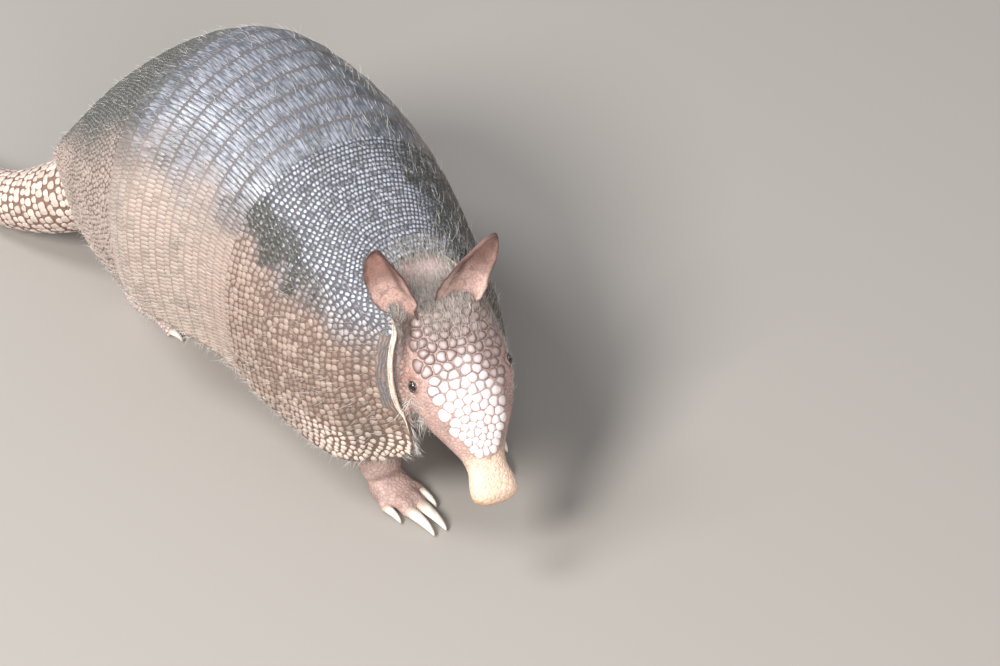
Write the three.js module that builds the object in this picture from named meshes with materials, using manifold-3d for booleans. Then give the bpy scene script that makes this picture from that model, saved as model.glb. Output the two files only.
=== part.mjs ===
// Nine-banded armadillo, adult, standing. Millimetres, +Z up, the animal faces -Y, its left is +X.
// The shell is one surface S(t, u): t runs along the back from the neck (0) to the tail (1),
// u runs round the body from the right lower edge (-1) over the ridge (0) to the left one (+1).
import * as THREE from "three";
import { mergeVertices } from "three/addons/utils/BufferGeometryUtils.js";
import Module from "manifold-3d";

const wasm = await Module();
wasm.setup();

// ---------------------------------------------------------------- driving dimensions
const GAP = 0.35; // clearance kept between neighbouring pieces
const SHELL_LENGTH = 303; // along the spine, neck rim to tail rim
const PLATE = 3.5; // thickness of the shell plates
const WRAP = 108 * (Math.PI / 180); // half-angle that the shell wraps round the body
const SQUARE = 2.25; // superellipse power of the body's cross-section

const STRAIGHT_END = 0.35; // share of the spine that the stiff shoulder shield covers
const BEND_END = 0.75; // the spine bends between these two shares, across the bands
const BEND = 24 * (Math.PI / 180); // how far the rump is turned to the animal's right
const FRONT_SWAY = 2; // how far the neck rim sits to the animal's left

const BAND_COUNT = 9;
const BAND_PITCH = 0.0447; // share of the spine taken by one band
const BANDS_START = 0.35;
const PLATE_COLUMNS = 20; // flats round each plate
const BANDS_END = BANDS_START + BAND_COUNT * BAND_PITCH;

// [t, ridge height, half-width, lower edge height]
const SHELL_STATIONS = [
  [0.0, 126, 27, 50],
  [0.1, 140, 50.5, 38],
  [0.25, 156, 63.5, 40],
  [0.42, 172, 72.5, 48],
  [0.55, 176.5, 77.5, 49],
  [0.68, 174, 80, 51],
  [0.8, 155, 67, 52],
  [0.92, 124, 50, 60],
  [1.0, 96, 33, 80],
];

const HEAD_ORIGIN = new THREE.Vector3(14.5, -114.5, 120); // middle of the back of the skull
const HEAD_LENGTH = 115;
const HEAD_FORWARD = new THREE.Vector3(-0.128, -0.736, -0.664).normalize();
const HEAD_SIDE = new THREE.Vector3(0.988, -0.151, -0.023).normalize(); // towards the animal's left

// [distance back from the nose, half-width, height above the axis, depth below it]
const HEAD_STATIONS = [
  [0, 8.0, 4.4, 6.0],
  [1.5, 10.6, 6.2, 7.6],
  [6, 12.2, 7.4, 8.6],
  [11, 11.6, 7.6, 8.4],
  [17, 10.1, 7.8, 8.2],
  [24, 11.2, 8.8, 9.4],
  [33, 15.8, 11.2, 12.0],
  [44, 21.6, 14.4, 16.0],
  [55, 25.4, 17.0, 19.6],
  [65, 27.0, 19.0, 22.2],
  [83, 26.2, 20.6, 24.0],
  [99, 23.8, 19.6, 22.5],
  [115, 20.0, 16.0, 18.0],
];
const HEAD_SQUARE = 2.35;
const HEAD_COLUMNS = 17;
const NOSE_DEPTH = 9;

const SIDES = { right: -1, left: 1 };

// ---------------------------------------------------------------- small tools
const vec = (x, y, z) => new THREE.Vector3(x, y, z);
const mix = THREE.MathUtils.lerp;
const signedPower = (value, power) => Math.sign(value) * Math.abs(value) ** power;

// Smooth curve through rows of [x, a, b, ...]: cubic pieces with averaged slopes.
function sample(rows, x, column) {
  const last = rows.length - 1;
  const slope = (i) => {
    const a = rows[Math.max(i - 1, 0)];
    const b = rows[Math.min(i + 1, last)];
    return (b[column] - a[column]) / (b[0] - a[0]);
  };
  let i = 0;
  while (i < last - 1 && x > rows[i + 1][0]) i += 1;
  const [p, q] = [rows[i], rows[i + 1]];
  const h = q[0] - p[0];
  const s = THREE.MathUtils.clamp((x - p[0]) / h, 0, 1);
  const s2 = s * s;
  const s3 = s2 * s;
  return (
    (2 * s3 - 3 * s2 + 1) * p[column] +
    (s3 - 2 * s2 + s) * h * slope(i) +
    (3 * s2 - 2 * s3) * q[column] +
    (s3 - s2) * h * slope(i + 1)
  );
}

// A closed geometry from rings of points, each ring running the same way round.
function loft(rings) {
  const count = rings[0].length;
  const points = rings.flat();
  const index = [];
  for (let i = 0; i < rings.length - 1; i += 1) {
    for (let j = 0; j < count; j += 1) {
      const a = i * count + j;
      const b = i * count + ((j + 1) % count);
      index.push(a, b, b + count, a, b + count, a + count);
    }
  }
  for (const [row, flip] of [
    [0, true],
    [rings.length - 1, false],
  ]) {
    const centre = points.length;
    points.push(rings[row].reduce((sum, p) => sum.add(p), vec(0, 0, 0)).divideScalar(count));
    for (let j = 0; j < count; j += 1) {
      const a = row * count + j;
      const b = row * count + ((j + 1) % count);
      index.push(...(flip ? [b, a, centre] : [a, b, centre]));
    }
  }
  return new THREE.BufferGeometry().setFromPoints(points).setIndex(index);
}

// A closed solid of manifold-3d from a three.js geometry; a geometry that faces inwards is turned.
function solid(geometry) {
  const bare = new THREE.BufferGeometry();
  bare.setAttribute("position", geometry.getAttribute("position"));
  bare.setIndex(geometry.index);
  const merged = mergeVertices(bare, 1e-4);
  const build = (triVerts) =>
    new wasm.Manifold(
      new wasm.Mesh({ numProp: 3, vertProperties: merged.attributes.position.array, triVerts }),
    );
  const made = build(new Uint32Array(merged.index.array));
  if (made.volume() > 0) return made;
  return build(new Uint32Array(merged.index.array).reverse());
}

function geometryOf(body) {
  const mesh = body.getMesh();
  const geometry = new THREE.BufferGeometry();
  geometry.setAttribute("position", new THREE.BufferAttribute(mesh.vertProperties, 3));
  geometry.setIndex(new THREE.BufferAttribute(mesh.triVerts, 1));
  return geometry;
}

const loftSolid = (rings) => solid(loft(rings));

// The largest body of a solid: what a cut leaves over as crumbs is dropped.
const mainBody = (body) =>
  body.decompose().reduce((best, piece) => (piece.volume() > best.volume() ? piece : best));

const FLOOR_BLOCK = solid(new THREE.BoxGeometry(1000, 1400, 100).translate(0, 100, -50));

// An oval ring across the direction `along`, its width in the direction `side`.
function ovalRing(centre, along, side, halfWidth, halfHeight, count, power = 2) {
  const forward = along.clone().normalize();
  const across = side.clone().addScaledVector(forward, -side.dot(forward)).normalize();
  const up = vec(0, 0, 0).crossVectors(across, forward);
  return Array.from({ length: count }, (_, j) => {
    const angle = (j / count) * 2 * Math.PI;
    return centre
      .clone()
      .addScaledVector(across, halfWidth * signedPower(Math.cos(angle), 2 / power))
      .addScaledVector(up, halfHeight * signedPower(Math.sin(angle), 2 / power));
  });
}

// A limb or tail: stations of [x, y, z, half-width, half-height] joined along a smooth curve.
function tube(stations, steps, count, { grow = 0, from = 0, to = 1, side = vec(1, 0, 0) } = {}) {
  const curve = new THREE.CatmullRomCurve3(stations.map(([x, y, z]) => vec(x, y, z)));
  const rows = stations.map((row, i) => [i / (stations.length - 1), row[3], row[4]]);
  const rings = [];
  for (let i = 0; i <= steps; i += 1) {
    const share = mix(from, to, i / steps);
    const width = sample(rows, share, 1) + grow;
    const height = sample(rows, share, 2) + grow;
    rings.push(
      ovalRing(curve.getPoint(share), curve.getTangent(share), side, width, height, count),
    );
  }
  return loftSolid(rings);
}

// ---------------------------------------------------------------- the shell's surface
// The spine seen from above: position and heading at the share t.
function spine(t) {
  const bendLength = (BEND_END - STRAIGHT_END) * SHELL_LENGTH;
  const curvature = BEND / bendLength;
  const place = (share) => {
    const s = (share - STRAIGHT_END) * SHELL_LENGTH;
    if (s <= 0) {
      const sway = FRONT_SWAY * (s / SHELL_LENGTH / STRAIGHT_END) ** 2;
      return { x: sway, y: s, heading: 0 };
    }
    const arc = Math.min(s, bendLength) * curvature;
    const rest = Math.max(s - bendLength, 0);
    return {
      x: -(1 - Math.cos(arc)) / curvature - Math.sin(arc) * rest,
      y: Math.sin(arc) / curvature + Math.cos(arc) * rest,
      heading: arc,
    };
  };
  const here = place(t);
  return { ...here, y: here.y - place(0.5).y };
}

function shellPoint(t, u) {
  const { x, y, heading } = spine(t);
  const top = sample(SHELL_STATIONS, t, 1);
  const halfWidth = sample(SHELL_STATIONS, t, 2);
  const low = sample(SHELL_STATIONS, t, 3);
  const angle = u * WRAP;
  const lateral = halfWidth * signedPower(Math.sin(angle), 2 / SQUARE);
  const rise = signedPower(Math.cos(angle), 2 / SQUARE);
  const lowest = signedPower(Math.cos(WRAP), 2 / SQUARE);
  return vec(
    x + lateral * Math.cos(heading),
    y + lateral * Math.sin(heading),
    low + ((rise - lowest) / (1 - lowest)) * (top - low),
  );
}

// The same point moved inwards, square to the surface.
function shellInset(t, u, inset) {
  const step = 0.012;
  const along = shellPoint(t + step, u).sub(shellPoint(t - step, u));
  const around = shellPoint(t, u + step).sub(shellPoint(t, u - step));
  const outward = vec(0, 0, 0).crossVectors(around, along).normalize();
  return shellPoint(t, u).addScaledVector(outward, -inset);
}

// The neck rim: a notch over the nape, then forward to the lower front corners.
const neckRim = (u) =>
  0.05 * Math.cos((u * Math.PI) / 2) + 0.07 * Math.exp(-(Math.abs((u - 0.085) / 0.27) ** 4));
// The tail rim is cut straight across.
const tailRim = () => 1;

// A plate of shell between two edges, each a function of u.
function plate(front, rear, rows, columns, outer = 0, inner = PLATE) {
  const rings = [];
  for (let j = 0; j <= columns; j += 1) {
    const u = mix(-1, 1, j / columns);
    const line = (inset) =>
      Array.from({ length: rows + 1 }, (_, i) => shellInset(mix(front(u), rear(u), i / rows), u, inset));
    rings.push([...line(outer), ...line(inner).reverse()]);
  }
  return loftSolid(rings);
}

// ---------------------------------------------------------------- the trunk
// [t, height of the belly's lowest line]
const BELLY_STATIONS = [
  [0.0, 56],
  [0.15, 38],
  [0.4, 34],
  [0.65, 35],
  [0.85, 38],
  [1.0, 32],
];
const TRUNK_FRONT = 0.17;
const TRUNK_REAR = 0.97;
const CHEST_ROUNDING = 9; // how far the rounded front stands out
const RUMP_ROUNDING = 6;

function trunkRing(t, grow) {
  const inset = PLATE + 3 * GAP - grow;
  const upperSteps = 15;
  const bellySteps = 6;
  const ring = [];
  for (let j = 0; j <= upperSteps; j += 1) {
    ring.push(shellInset(t, mix(-1, 1, j / upperSteps), inset));
  }
  const [right, left] = [ring[0], ring[upperSteps]];
  const depth = Math.min(right.z, left.z) - sample(BELLY_STATIONS, t, 1) + grow;
  for (let j = 1; j < bellySteps; j += 1) {
    const share = j / bellySteps;
    const point = left.clone().lerp(right, share);
    point.z -= depth * Math.sin(share * Math.PI) ** 0.7;
    ring.push(point);
  }
  return ring;
}

// A ring drawn in towards its own middle and moved along the spine: it rounds off an end.
function roundedEnd(ring, share, travel, t) {
  const { heading } = spine(t);
  const move = vec(-Math.sin(heading), Math.cos(heading), 0).multiplyScalar(travel);
  const middle = ring.reduce((sum, p) => sum.add(p), vec(0, 0, 0)).divideScalar(ring.length);
  return ring.map((point) => point.clone().lerp(middle, share).add(move));
}

function trunk(grow = 0) {
  const steps = 11;
  const rings = [];
  for (let i = 0; i <= steps; i += 1) {
    rings.push(trunkRing(mix(TRUNK_FRONT, TRUNK_REAR, i / steps), grow));
  }
  rings.unshift(roundedEnd(rings[0], 0.25, -CHEST_ROUNDING - grow, TRUNK_FRONT));
  rings.push(roundedEnd(rings.at(-1), 0.35, RUMP_ROUNDING + grow, TRUNK_REAR));
  return loftSolid(rings);
}

// ---------------------------------------------------------------- the head
const HEAD_UP = vec(0, 0, 0).crossVectors(HEAD_SIDE, HEAD_FORWARD).normalize();
if (HEAD_UP.z < 0) HEAD_UP.negate();

// A place in the head's own frame: back from the nose tip, to its left, above its axis.
function headPlace(back, left, up) {
  return HEAD_ORIGIN.clone()
    .addScaledVector(HEAD_FORWARD, HEAD_LENGTH - back)
    .addScaledVector(HEAD_SIDE, left)
    .addScaledVector(HEAD_UP, up);
}

// A point of the head's skin at an angle from the crown, raised by `lift`.
function headPoint(back, angle, lift) {
  const halfWidth = sample(HEAD_STATIONS, back, 1) + lift;
  const above = sample(HEAD_STATIONS, back, 2) + lift;
  const below = sample(HEAD_STATIONS, back, 3) + lift;
  const rise = signedPower(Math.cos(angle), 2 / HEAD_SQUARE);
  return headPlace(
    back,
    halfWidth * signedPower(Math.sin(angle), 2 / HEAD_SQUARE),
    rise > 0 ? above * rise : below * rise,
  );
}

function headSpan(from, to, steps, columns, grow = 0) {
  const rings = [];
  for (let i = 0; i <= steps; i += 1) {
    const back = mix(from, to, i / steps);
    rings.push(
      Array.from({ length: columns }, (_, j) => headPoint(back, (j / columns) * 2 * Math.PI, grow)),
    );
  }
  return loftSolid(rings);
}

// Half-width of the scaly shield on the head.
const SHIELD_STATIONS = [
  [21, 5.5],
  [27, 8.6],
  [37, 12.5],
  [49, 17.0],
  [65, 20.8],
  [83, 21.6],
  [93, 19.5],
  [100, 13.0],
];
const SHIELD_THICKNESS = 1.6;

function headShield() {
  const rows = 10;
  const columns = 8;
  const [front, rear] = [SHIELD_STATIONS[0][0], SHIELD_STATIONS.at(-1)[0]];
  const rings = [];
  for (let i = 0; i <= rows; i += 1) {
    const back = mix(front, rear, i / rows);
    const reach = sample(SHIELD_STATIONS, back, 1) / sample(HEAD_STATIONS, back, 1);
    const edge = Math.asin(Math.min(reach, 0.95) ** (HEAD_SQUARE / 2));
    const line = (lift) =>
      Array.from({ length: columns + 1 }, (_, j) => headPoint(back, mix(-edge, edge, j / columns), lift));
    rings.push([...line(2 * GAP + SHIELD_THICKNESS), ...line(2 * GAP).reverse()]);
  }
  return loftSolid(rings);
}

const EYE_RADIUS = 3.4;
const EYE_BACK = 64;
const EYE_SIDE = 24.0;
const EYE_UP = 5.5;

function eyeball(side, grow = 0) {
  const ball = new THREE.SphereGeometry(EYE_RADIUS + grow, 10, 6);
  return solid(ball.translate(...headPlace(EYE_BACK, side * EYE_SIDE, EYE_UP)));
}

// ---------------------------------------------------------------- the ears
const EAR_LENGTH = 41;
const EAR_HALF_WIDTH = 7.8;
const EAR_CUP = 0.62; // half-angle that the open leaf is rolled by
const EAR_THICKNESS = 2.0;
// Of each ear: its base in the head's frame, the way it points and the way its hollow faces (both
// forwards, upwards, outwards), how far its middle is bowed and swung, where its root starts, how far
// its inner edge spreads, where along the ear that spread ends and its share at the root.
const EARS = {
  right: {
    base: [105, -20, 21.5],
    points: [-0.7, 0.64, 0.31],
    faces: [0.14, 0.79, 0.46],
    bow: 4.6,
    swing: 3.3,
    root: -0.18,
    spread: 4.5,
    ends: [0.5, 0.95],
    atRoot: 0,
  },
  left: {
    base: [101, 11.8, 15.5],
    points: [-0.67, 0.55, 0.59],
    faces: [0.2, 0.84, 0.29],
    bow: 4.5,
    swing: -2.7,
    root: 0,
    spread: 13,
    ends: [0.05, 0.85],
    atRoot: 1,
  },
};

// A direction given as forwards, upwards and outwards of the head.
function headDirection([forwards, upwards, outwards], side) {
  return vec(0, 0, 0)
    .addScaledVector(HEAD_FORWARD, forwards)
    .addScaledVector(HEAD_UP, upwards)
    .addScaledVector(HEAD_SIDE, side * outwards)
    .normalize();
}

// A cupped leaf: it rises from a rolled root, opens to a wide hollow and ends in a round tip.
function ear(name) {
  const side = SIDES[name];
  const { base, points, faces, bow, swing, root, spread, ends, atRoot } = EARS[name];
  const origin = headPlace(...base);
  const axis = headDirection(points, side);
  const facing = headDirection(faces, side);
  facing.addScaledVector(axis, -facing.dot(axis)).normalize();
  const across = vec(0, 0, 0).crossVectors(axis, facing).multiplyScalar(side);
  const rows = 8;
  const columns = 6;
  const rings = [];
  for (let i = 0; i <= rows; i += 1) {
    const p = mix(root, 0.985, i / rows);
    const opened = Math.max(p, 0);
    const width = EAR_HALF_WIDTH * (0.42 + 0.58 * Math.sin(Math.min(opened * 2.7, 1) * (Math.PI / 2)));
    const round = Math.sqrt(1 - Math.max(2 * p - 1, 0) ** 2.4);
    const cup = mix(1.7, EAR_CUP, Math.min(opened * 2, 1));
    const radius = (width * round) / Math.sin(Math.min(cup, Math.PI / 2));
    const bulge = Math.sin(opened * Math.PI);
    const opening = mix(atRoot, 1, THREE.MathUtils.smoothstep(p, -0.05, 0.2));
    const flare = spread * opening * (1 - THREE.MathUtils.smoothstep(p, ends[0], ends[1]));
    const place = (q, lift) => {
      const angle = q * cup;
      const wider = q > 0 ? 1 + 0.16 * q : 1;
      const sideways = (radius + lift) * Math.sin(angle) * wider - flare * Math.max(-q, 0) ** 1.3;
      return origin
        .clone()
        .addScaledVector(axis, (p - 0.12) * EAR_LENGTH)
        .addScaledVector(across, swing * bulge + sideways)
        .addScaledVector(facing, bow * bulge + radius * 0.6 - (radius + lift) * Math.cos(angle));
    };
    const thickness = EAR_THICKNESS * (p > 0.9 ? 0.6 : 1);
    const line = (lift) =>
      Array.from({ length: columns + 1 }, (_, j) => place(mix(-1, 1, j / columns), lift));
    rings.push([...line(thickness / 2), ...line(-thickness / 2).reverse()]);
  }
  return loftSolid(rings);
}

// ---------------------------------------------------------------- the neck
// Rings of [centre, direction, half-width, half-height] from inside the trunk into the skull.
const NECK_RINGS = [
  [vec(5, -92, 86), vec(0, -1, 0), 40, 42],
  [vec(7, -104, 92), vec(0, -1, 0.1), 38, 40],
  [vec(9, -114, 99), vec(-0.02, -0.95, -0.1), 33, 35],
  [headPlace(103, 0, -5), vec(-0.08, -0.85, -0.4), 26, 25],
  [headPlace(89, 0, -4), HEAD_FORWARD, 20, 17],
];

function neck(grow = 0) {
  const rings = NECK_RINGS.map(([centre, along, wide, tall]) =>
    ovalRing(centre, along, HEAD_SIDE, wide + grow, tall + grow, 14),
  );
  return loftSolid(rings);
}

// ---------------------------------------------------------------- the tail
const TAIL_STATIONS = [
  [-36, 96, 64, 20, 20],
  [-60, 134, 50, 22, 21.5],
  [-76, 155, 36, 20.8, 20.2],
  [-88, 174, 26, 17.8, 17.4],
  [-98, 197, 18, 15.4, 15.2],
  [-110, 232, 13.6, 13.8, 13.8],
  [-121, 274, 11.6, 12.0, 12.0],
  [-127, 318, 9.6, 10.0, 10.0],
  [-126, 362, 7.4, 7.8, 7.8],
  [-119, 404, 5.0, 5.4, 5.4],
  [-108, 438, 2.6, 3.0, 3.0],
];
const TAIL_CUTS = [0.0, 0.34, 0.55, 0.77, 1];

function tailLength(n) {
  const clearance = 0.0006; // share of the tail left free at each cut
  return tube(TAIL_STATIONS, n === 0 ? 7 : 4, 12, {
    from: TAIL_CUTS[n] + clearance,
    to: TAIL_CUTS[n + 1] - clearance,
    side: vec(0.85, 0.5, 0),
  });
}

// ---------------------------------------------------------------- limbs
// Each limb: stations of [spine share, distance from the spine, height, half-width, half-height].
const FORELEGS = {
  right: [
    [0.3, 32, 72, 17, 19],
    [0.22, 30, 49, 15, 15],
    [0.14, 27, 31, 13, 12],
    [0.105, 25.5, 14, 10.5, 9.5],
  ],
  left: [
    [0.27, 32, 74, 17, 19],
    [0.22, 33, 50, 15, 16],
    [0.18, 33, 31, 13, 12.5],
    [0.155, 32, 14, 10.5, 9.5],
  ],
};
const FOREFEET = { right: [0.095, 24.5, 0.16], left: [0.145, 32, -0.1] };
const HINDLEGS = {
  right: [
    [0.79, 42, 84, 22, 29],
    [0.75, 43, 56, 18, 25],
    [0.79, 32, 32, 12.5, 15],
    [0.83, 27, 15, 9.5, 10.5],
  ],
  left: [
    [0.81, 42, 84, 22, 29],
    [0.78, 43, 56, 18, 25],
    [0.83, 38, 32, 12.5, 15],
    [0.87, 36, 15, 9.5, 10.5],
  ],
};
const HINDFEET = { right: [0.845, 26, 0.3], left: [0.885, 36, 0.5] };

// A place given by its share of the spine, its distance to the right or left of it and its height.
function besideSpine(t, lateral, height) {
  const { x, y, heading } = spine(t);
  return vec(x + lateral * Math.cos(heading), y + lateral * Math.sin(heading), height);
}

// [sideways, forward, length, base radius] of each claw's root, from the inner digit outwards
const FORE_DIGITS = [
  [10.3, 12, 12, 2.2],
  [3.4, 21, 20, 3.1],
  [-3.5, 21, 19, 3.0],
  [-10.4, 10, 11, 2.1],
];
const HIND_DIGITS = [
  [12.9, 32, 8, 1.8],
  [6.9, 41, 11, 2.4],
  [0.0, 44, 13, 2.8],
  [-6.9, 41, 11, 2.4],
  [-12.9, 32, 8, 1.8],
];

function limbTube(name, limbStations, grow = 0) {
  const stations = limbStations.map(([t, lateral, height, wide, tall]) => {
    const { x, y, z } = besideSpine(t, SIDES[name] * lateral, height);
    return [x, y, z, wide, tall];
  });
  return tube(stations, 5, 10, { grow });
}

// A foot's own frame: where its middle stands and how far it is turned to the animal's left.
function footFrame(side, [t, lateral, turn]) {
  return { side, at: besideSpine(t, side * lateral, 0), turn };
}

// A place in that frame: inward is towards the animal's midline, forward towards the toes.
function footPlace(foot, inward, forward, up) {
  const local = vec(-foot.side * inward, -forward, up);
  return local.applyAxisAngle(vec(0, 0, 1), foot.turn).add(foot.at);
}

const footAcross = (foot) => footPlace(foot, -1, 0, 0).sub(foot.at);
const footAlong = (foot) => footPlace(foot, 0, 1, 0).sub(foot.at);

// Shares of the foot's reach, width and height from the heel to the toes.
const PAD_ROWS = [
  [0, 0.62, 0.8],
  [0.2, 0.92, 1.15],
  [0.55, 1.0, 1.0],
  [0.9, 0.92, 0.72],
];
const TOE_WALL = 1.3; // flesh round the root of a claw

// The foot: a low pad from the heel to the toes, then one short toe for each claw.
function footSolid(foot, digits, { heel, width, height }, grow = 0) {
  const reach = Math.min(...digits.map((digit) => digit[1]));
  const rings = PAD_ROWS.map(([share, wide, tall]) =>
    ovalRing(
      footPlace(foot, 0, mix(-heel, reach, share), height * tall * 0.42),
      footAlong(foot),
      footAcross(foot),
      width * wide + grow,
      height * tall * 0.62 + grow,
      10,
      2.3,
    ),
  );
  let made = loftSolid(rings);
  for (const [inward, forward, , radius] of digits) {
    const start = footPlace(foot, inward * 0.7, reach * 0.4, height * 0.36);
    const end = footPlace(foot, inward, forward, radius + TOE_WALL);
    const toe = [start, end].map((centre, k) => {
      const size = radius + TOE_WALL + (k ? 0 : 0.6) + grow;
      return ovalRing(centre, footAlong(foot), footAcross(foot), size, size, 6);
    });
    made = made.add(loftSolid(toe));
  }
  return made.subtract(FLOOR_BLOCK);
}

// A claw: a curved cone that starts at the toe's end and comes down almost to the floor.
function claw(foot, [inward, forward, length, radius]) {
  const steps = 3;
  const curl = 1.35; // radians that the claw's arc turns through
  const rings = [];
  for (let i = 0; i <= steps; i += 1) {
    const share = i / steps;
    const reach = forward + GAP + (length * Math.sin(share * curl)) / Math.sin(curl);
    const height = mix(radius + TOE_WALL, 1.0, share ** 2.2) + 0.8 * Math.sin(share * Math.PI);
    const direction = footAlong(foot).add(vec(0, 0, -0.9 * share));
    const size = radius * (1 - share) ** 0.62 + 0.45;
    const centre = footPlace(foot, inward, reach, height);
    rings.push(ovalRing(centre, direction, footAcross(foot), size * 0.92, size, 6));
  }
  return loftSolid(rings);
}

// ---------------------------------------------------------------- materials
const paint = (color, roughness) => new THREE.MeshStandardMaterial({ color, roughness, metalness: 0 });
const MATERIALS = {
  shell: paint(0x4b4a4e, 0.45),
  bands: paint(0x55504f, 0.45),
  skin: paint(0x9c857a, 0.7),
  headPlate: paint(0xc9b3ab, 0.5),
  ears: paint(0x8a6457, 0.65),
  nose: paint(0xd9b39b, 0.6),
  tail: paint(0x9a8473, 0.6),
  claws: paint(0xd9cdb4, 0.4),
  eyes: paint(0x14100e, 0.1),
};

// ---------------------------------------------------------------- assembly
const model = new THREE.Group();
const animal = new THREE.Group();
model.add(animal);

function place(name, body, material) {
  const mesh = new THREE.Mesh(geometryOf(mainBody(body)), material);
  mesh.name = name;
  animal.add(mesh);
}

const halfGap = GAP / 2 / SHELL_LENGTH;
const coverFront = (u) => neckRim(u) - GAP / SHELL_LENGTH;
const coverRear = () => tailRim() + GAP / SHELL_LENGTH;
const cover = plate(coverFront, coverRear, 16, PLATE_COLUMNS, -2 * GAP, PLATE + 4 * GAP);
const grownTrunk = trunk(GAP);
const shieldReach = SHIELD_STATIONS.at(-1)[0] + GAP;
const grownShield = headSpan(0, shieldReach, 12, HEAD_COLUMNS, SHIELD_THICKNESS + 4 * GAP);
const grownHead = headSpan(0, HEAD_LENGTH, 14, HEAD_COLUMNS, GAP).add(grownShield);
const trunkAndShell = cover.add(grownTrunk);

place("scapular_shield", plate(neckRim, () => BANDS_START - halfGap, 7, PLATE_COLUMNS), MATERIALS.shell);
for (let n = 0; n < BAND_COUNT; n += 1) {
  const front = BANDS_START + n * BAND_PITCH + halfGap;
  const rear = BANDS_START + (n + 1) * BAND_PITCH - halfGap;
  place("band_" + (n + 1), plate(() => front, () => rear, 1, PLATE_COLUMNS), MATERIALS.bands);
}
place("pelvic_shield", plate(() => BANDS_END + halfGap, tailRim, 7, PLATE_COLUMNS), MATERIALS.shell);

const noseCut = NOSE_DEPTH + GAP;
let head = headSpan(noseCut, HEAD_LENGTH, 13, HEAD_COLUMNS);
for (const side of Object.values(SIDES)) {
  head = head.subtract(eyeball(side, GAP));
}
head = head.subtract(cover).subtract(grownTrunk);
place("head", head, MATERIALS.skin);
place("nose", headSpan(0, NOSE_DEPTH, 4, HEAD_COLUMNS), MATERIALS.nose);
place("head_shield", headShield(), MATERIALS.headPlate);

place("trunk", trunk(), MATERIALS.skin);
let neckBody = neck().subtract(trunkAndShell).subtract(grownHead);
for (const name of Object.keys(SIDES)) {
  neckBody = neckBody.subtract(limbTube(name, FORELEGS[name], 2 * GAP));
}
place("neck", neckBody, MATERIALS.skin);

for (const [name, side] of Object.entries(SIDES)) {
  place("eye_" + name, eyeball(side), MATERIALS.eyes);
  const leaf = ear(name).subtract(trunkAndShell).subtract(grownHead).subtract(neck(2 * GAP));
  place("ear_" + name, leaf, MATERIALS.ears);
}

for (let n = 0; n < TAIL_CUTS.length - 1; n += 1) {
  const piece = tailLength(n).subtract(trunkAndShell).subtract(FLOOR_BLOCK);
  place("tail_" + (n + 1), piece, MATERIALS.tail);
}

function leg(kind, name, legStations, standing, digits, sizes) {
  const foot = footFrame(SIDES[name], standing);
  const limb = limbTube(name, legStations)
    .subtract(trunkAndShell)
    .subtract(footSolid(foot, digits, sizes, GAP));
  place(kind + "leg_" + name, limb, MATERIALS.skin);
  place(kind + "foot_" + name, footSolid(foot, digits, sizes), MATERIALS.skin);
  digits.forEach((digit, n) => {
    place("claw_" + kind + "_" + name + "_" + (n + 1), claw(foot, digit), MATERIALS.claws);
  });
}

const FORE_SIZES = { heel: 9, width: 11, height: 13 };
const HIND_SIZES = { heel: 11, width: 12.5, height: 14 };
for (const name of Object.keys(SIDES)) {
  leg("fore", name, FORELEGS[name], FOREFEET[name], FORE_DIGITS, FORE_SIZES);
  leg("hind", name, HINDLEGS[name], HINDFEET[name], HIND_DIGITS, HIND_SIZES);
}

// The origin goes to the middle of the box's underside.
const box = new THREE.Box3().setFromObject(animal);
const middle = box.getCenter(vec(0, 0, 0));
animal.position.set(-middle.x, -middle.y, -box.min.z);

export default model;
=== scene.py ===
import math

import bmesh
import bpy
import numpy as np
from mathutils import Matrix, Vector, kdtree, noise


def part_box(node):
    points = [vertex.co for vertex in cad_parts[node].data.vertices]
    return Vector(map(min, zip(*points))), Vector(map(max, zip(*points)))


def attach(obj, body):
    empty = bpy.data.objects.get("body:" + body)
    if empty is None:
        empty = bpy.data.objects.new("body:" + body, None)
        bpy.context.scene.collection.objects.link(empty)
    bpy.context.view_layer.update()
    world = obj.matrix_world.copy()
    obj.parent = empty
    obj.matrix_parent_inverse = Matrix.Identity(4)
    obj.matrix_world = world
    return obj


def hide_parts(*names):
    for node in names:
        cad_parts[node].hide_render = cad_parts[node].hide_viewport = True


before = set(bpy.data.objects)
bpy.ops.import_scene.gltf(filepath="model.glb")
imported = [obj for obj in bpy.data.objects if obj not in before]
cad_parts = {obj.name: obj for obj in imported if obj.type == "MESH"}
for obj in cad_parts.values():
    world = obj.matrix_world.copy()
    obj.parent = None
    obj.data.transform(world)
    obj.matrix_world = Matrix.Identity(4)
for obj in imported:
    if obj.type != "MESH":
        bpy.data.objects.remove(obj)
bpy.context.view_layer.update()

dice = np.random.default_rng(9)

# Lengths in this script are millimetres in the animal's own frame, +Z up, facing -Y, its left +X.
# settle() moves finished points into the shared frame, in metres.
MM = 0.001

# ---------------------------------------------------------------- sizes
SHELL_LENGTH = 303
WRAP = math.radians(108)  # how far down each side the shell wraps from the ridge
SQUARE = 2.25  # how square the shell's section is; 2 is an ellipse
STRAIGHT_END = 0.35  # shares of the back between which the body bends to its right
BEND_END = 0.75
BEND = math.radians(24)
FRONT_SWAY = 2  # how far the shell's front end stands to the left
BAND_COUNT = 9
BAND_PITCH = 0.0447  # as shares of the back
BANDS_START = 0.35
BANDS_END = BANDS_START + BAND_COUNT * BAND_PITCH

# [share of the back, ridge height, half-width, height of the lower edge]
SHELL_STATIONS = [
    [0.0, 126, 27, 47],
    [0.1, 140, 50.5, 34.5],
    [0.25, 156, 63.5, 37.5],
    [0.42, 172, 72.5, 48],
    [0.55, 176.5, 77.5, 49],
    [0.68, 174, 80, 51],
    [0.8, 155, 67, 52],
    [0.92, 124, 50, 60],
    [1.0, 96, 33, 80],
]

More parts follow.
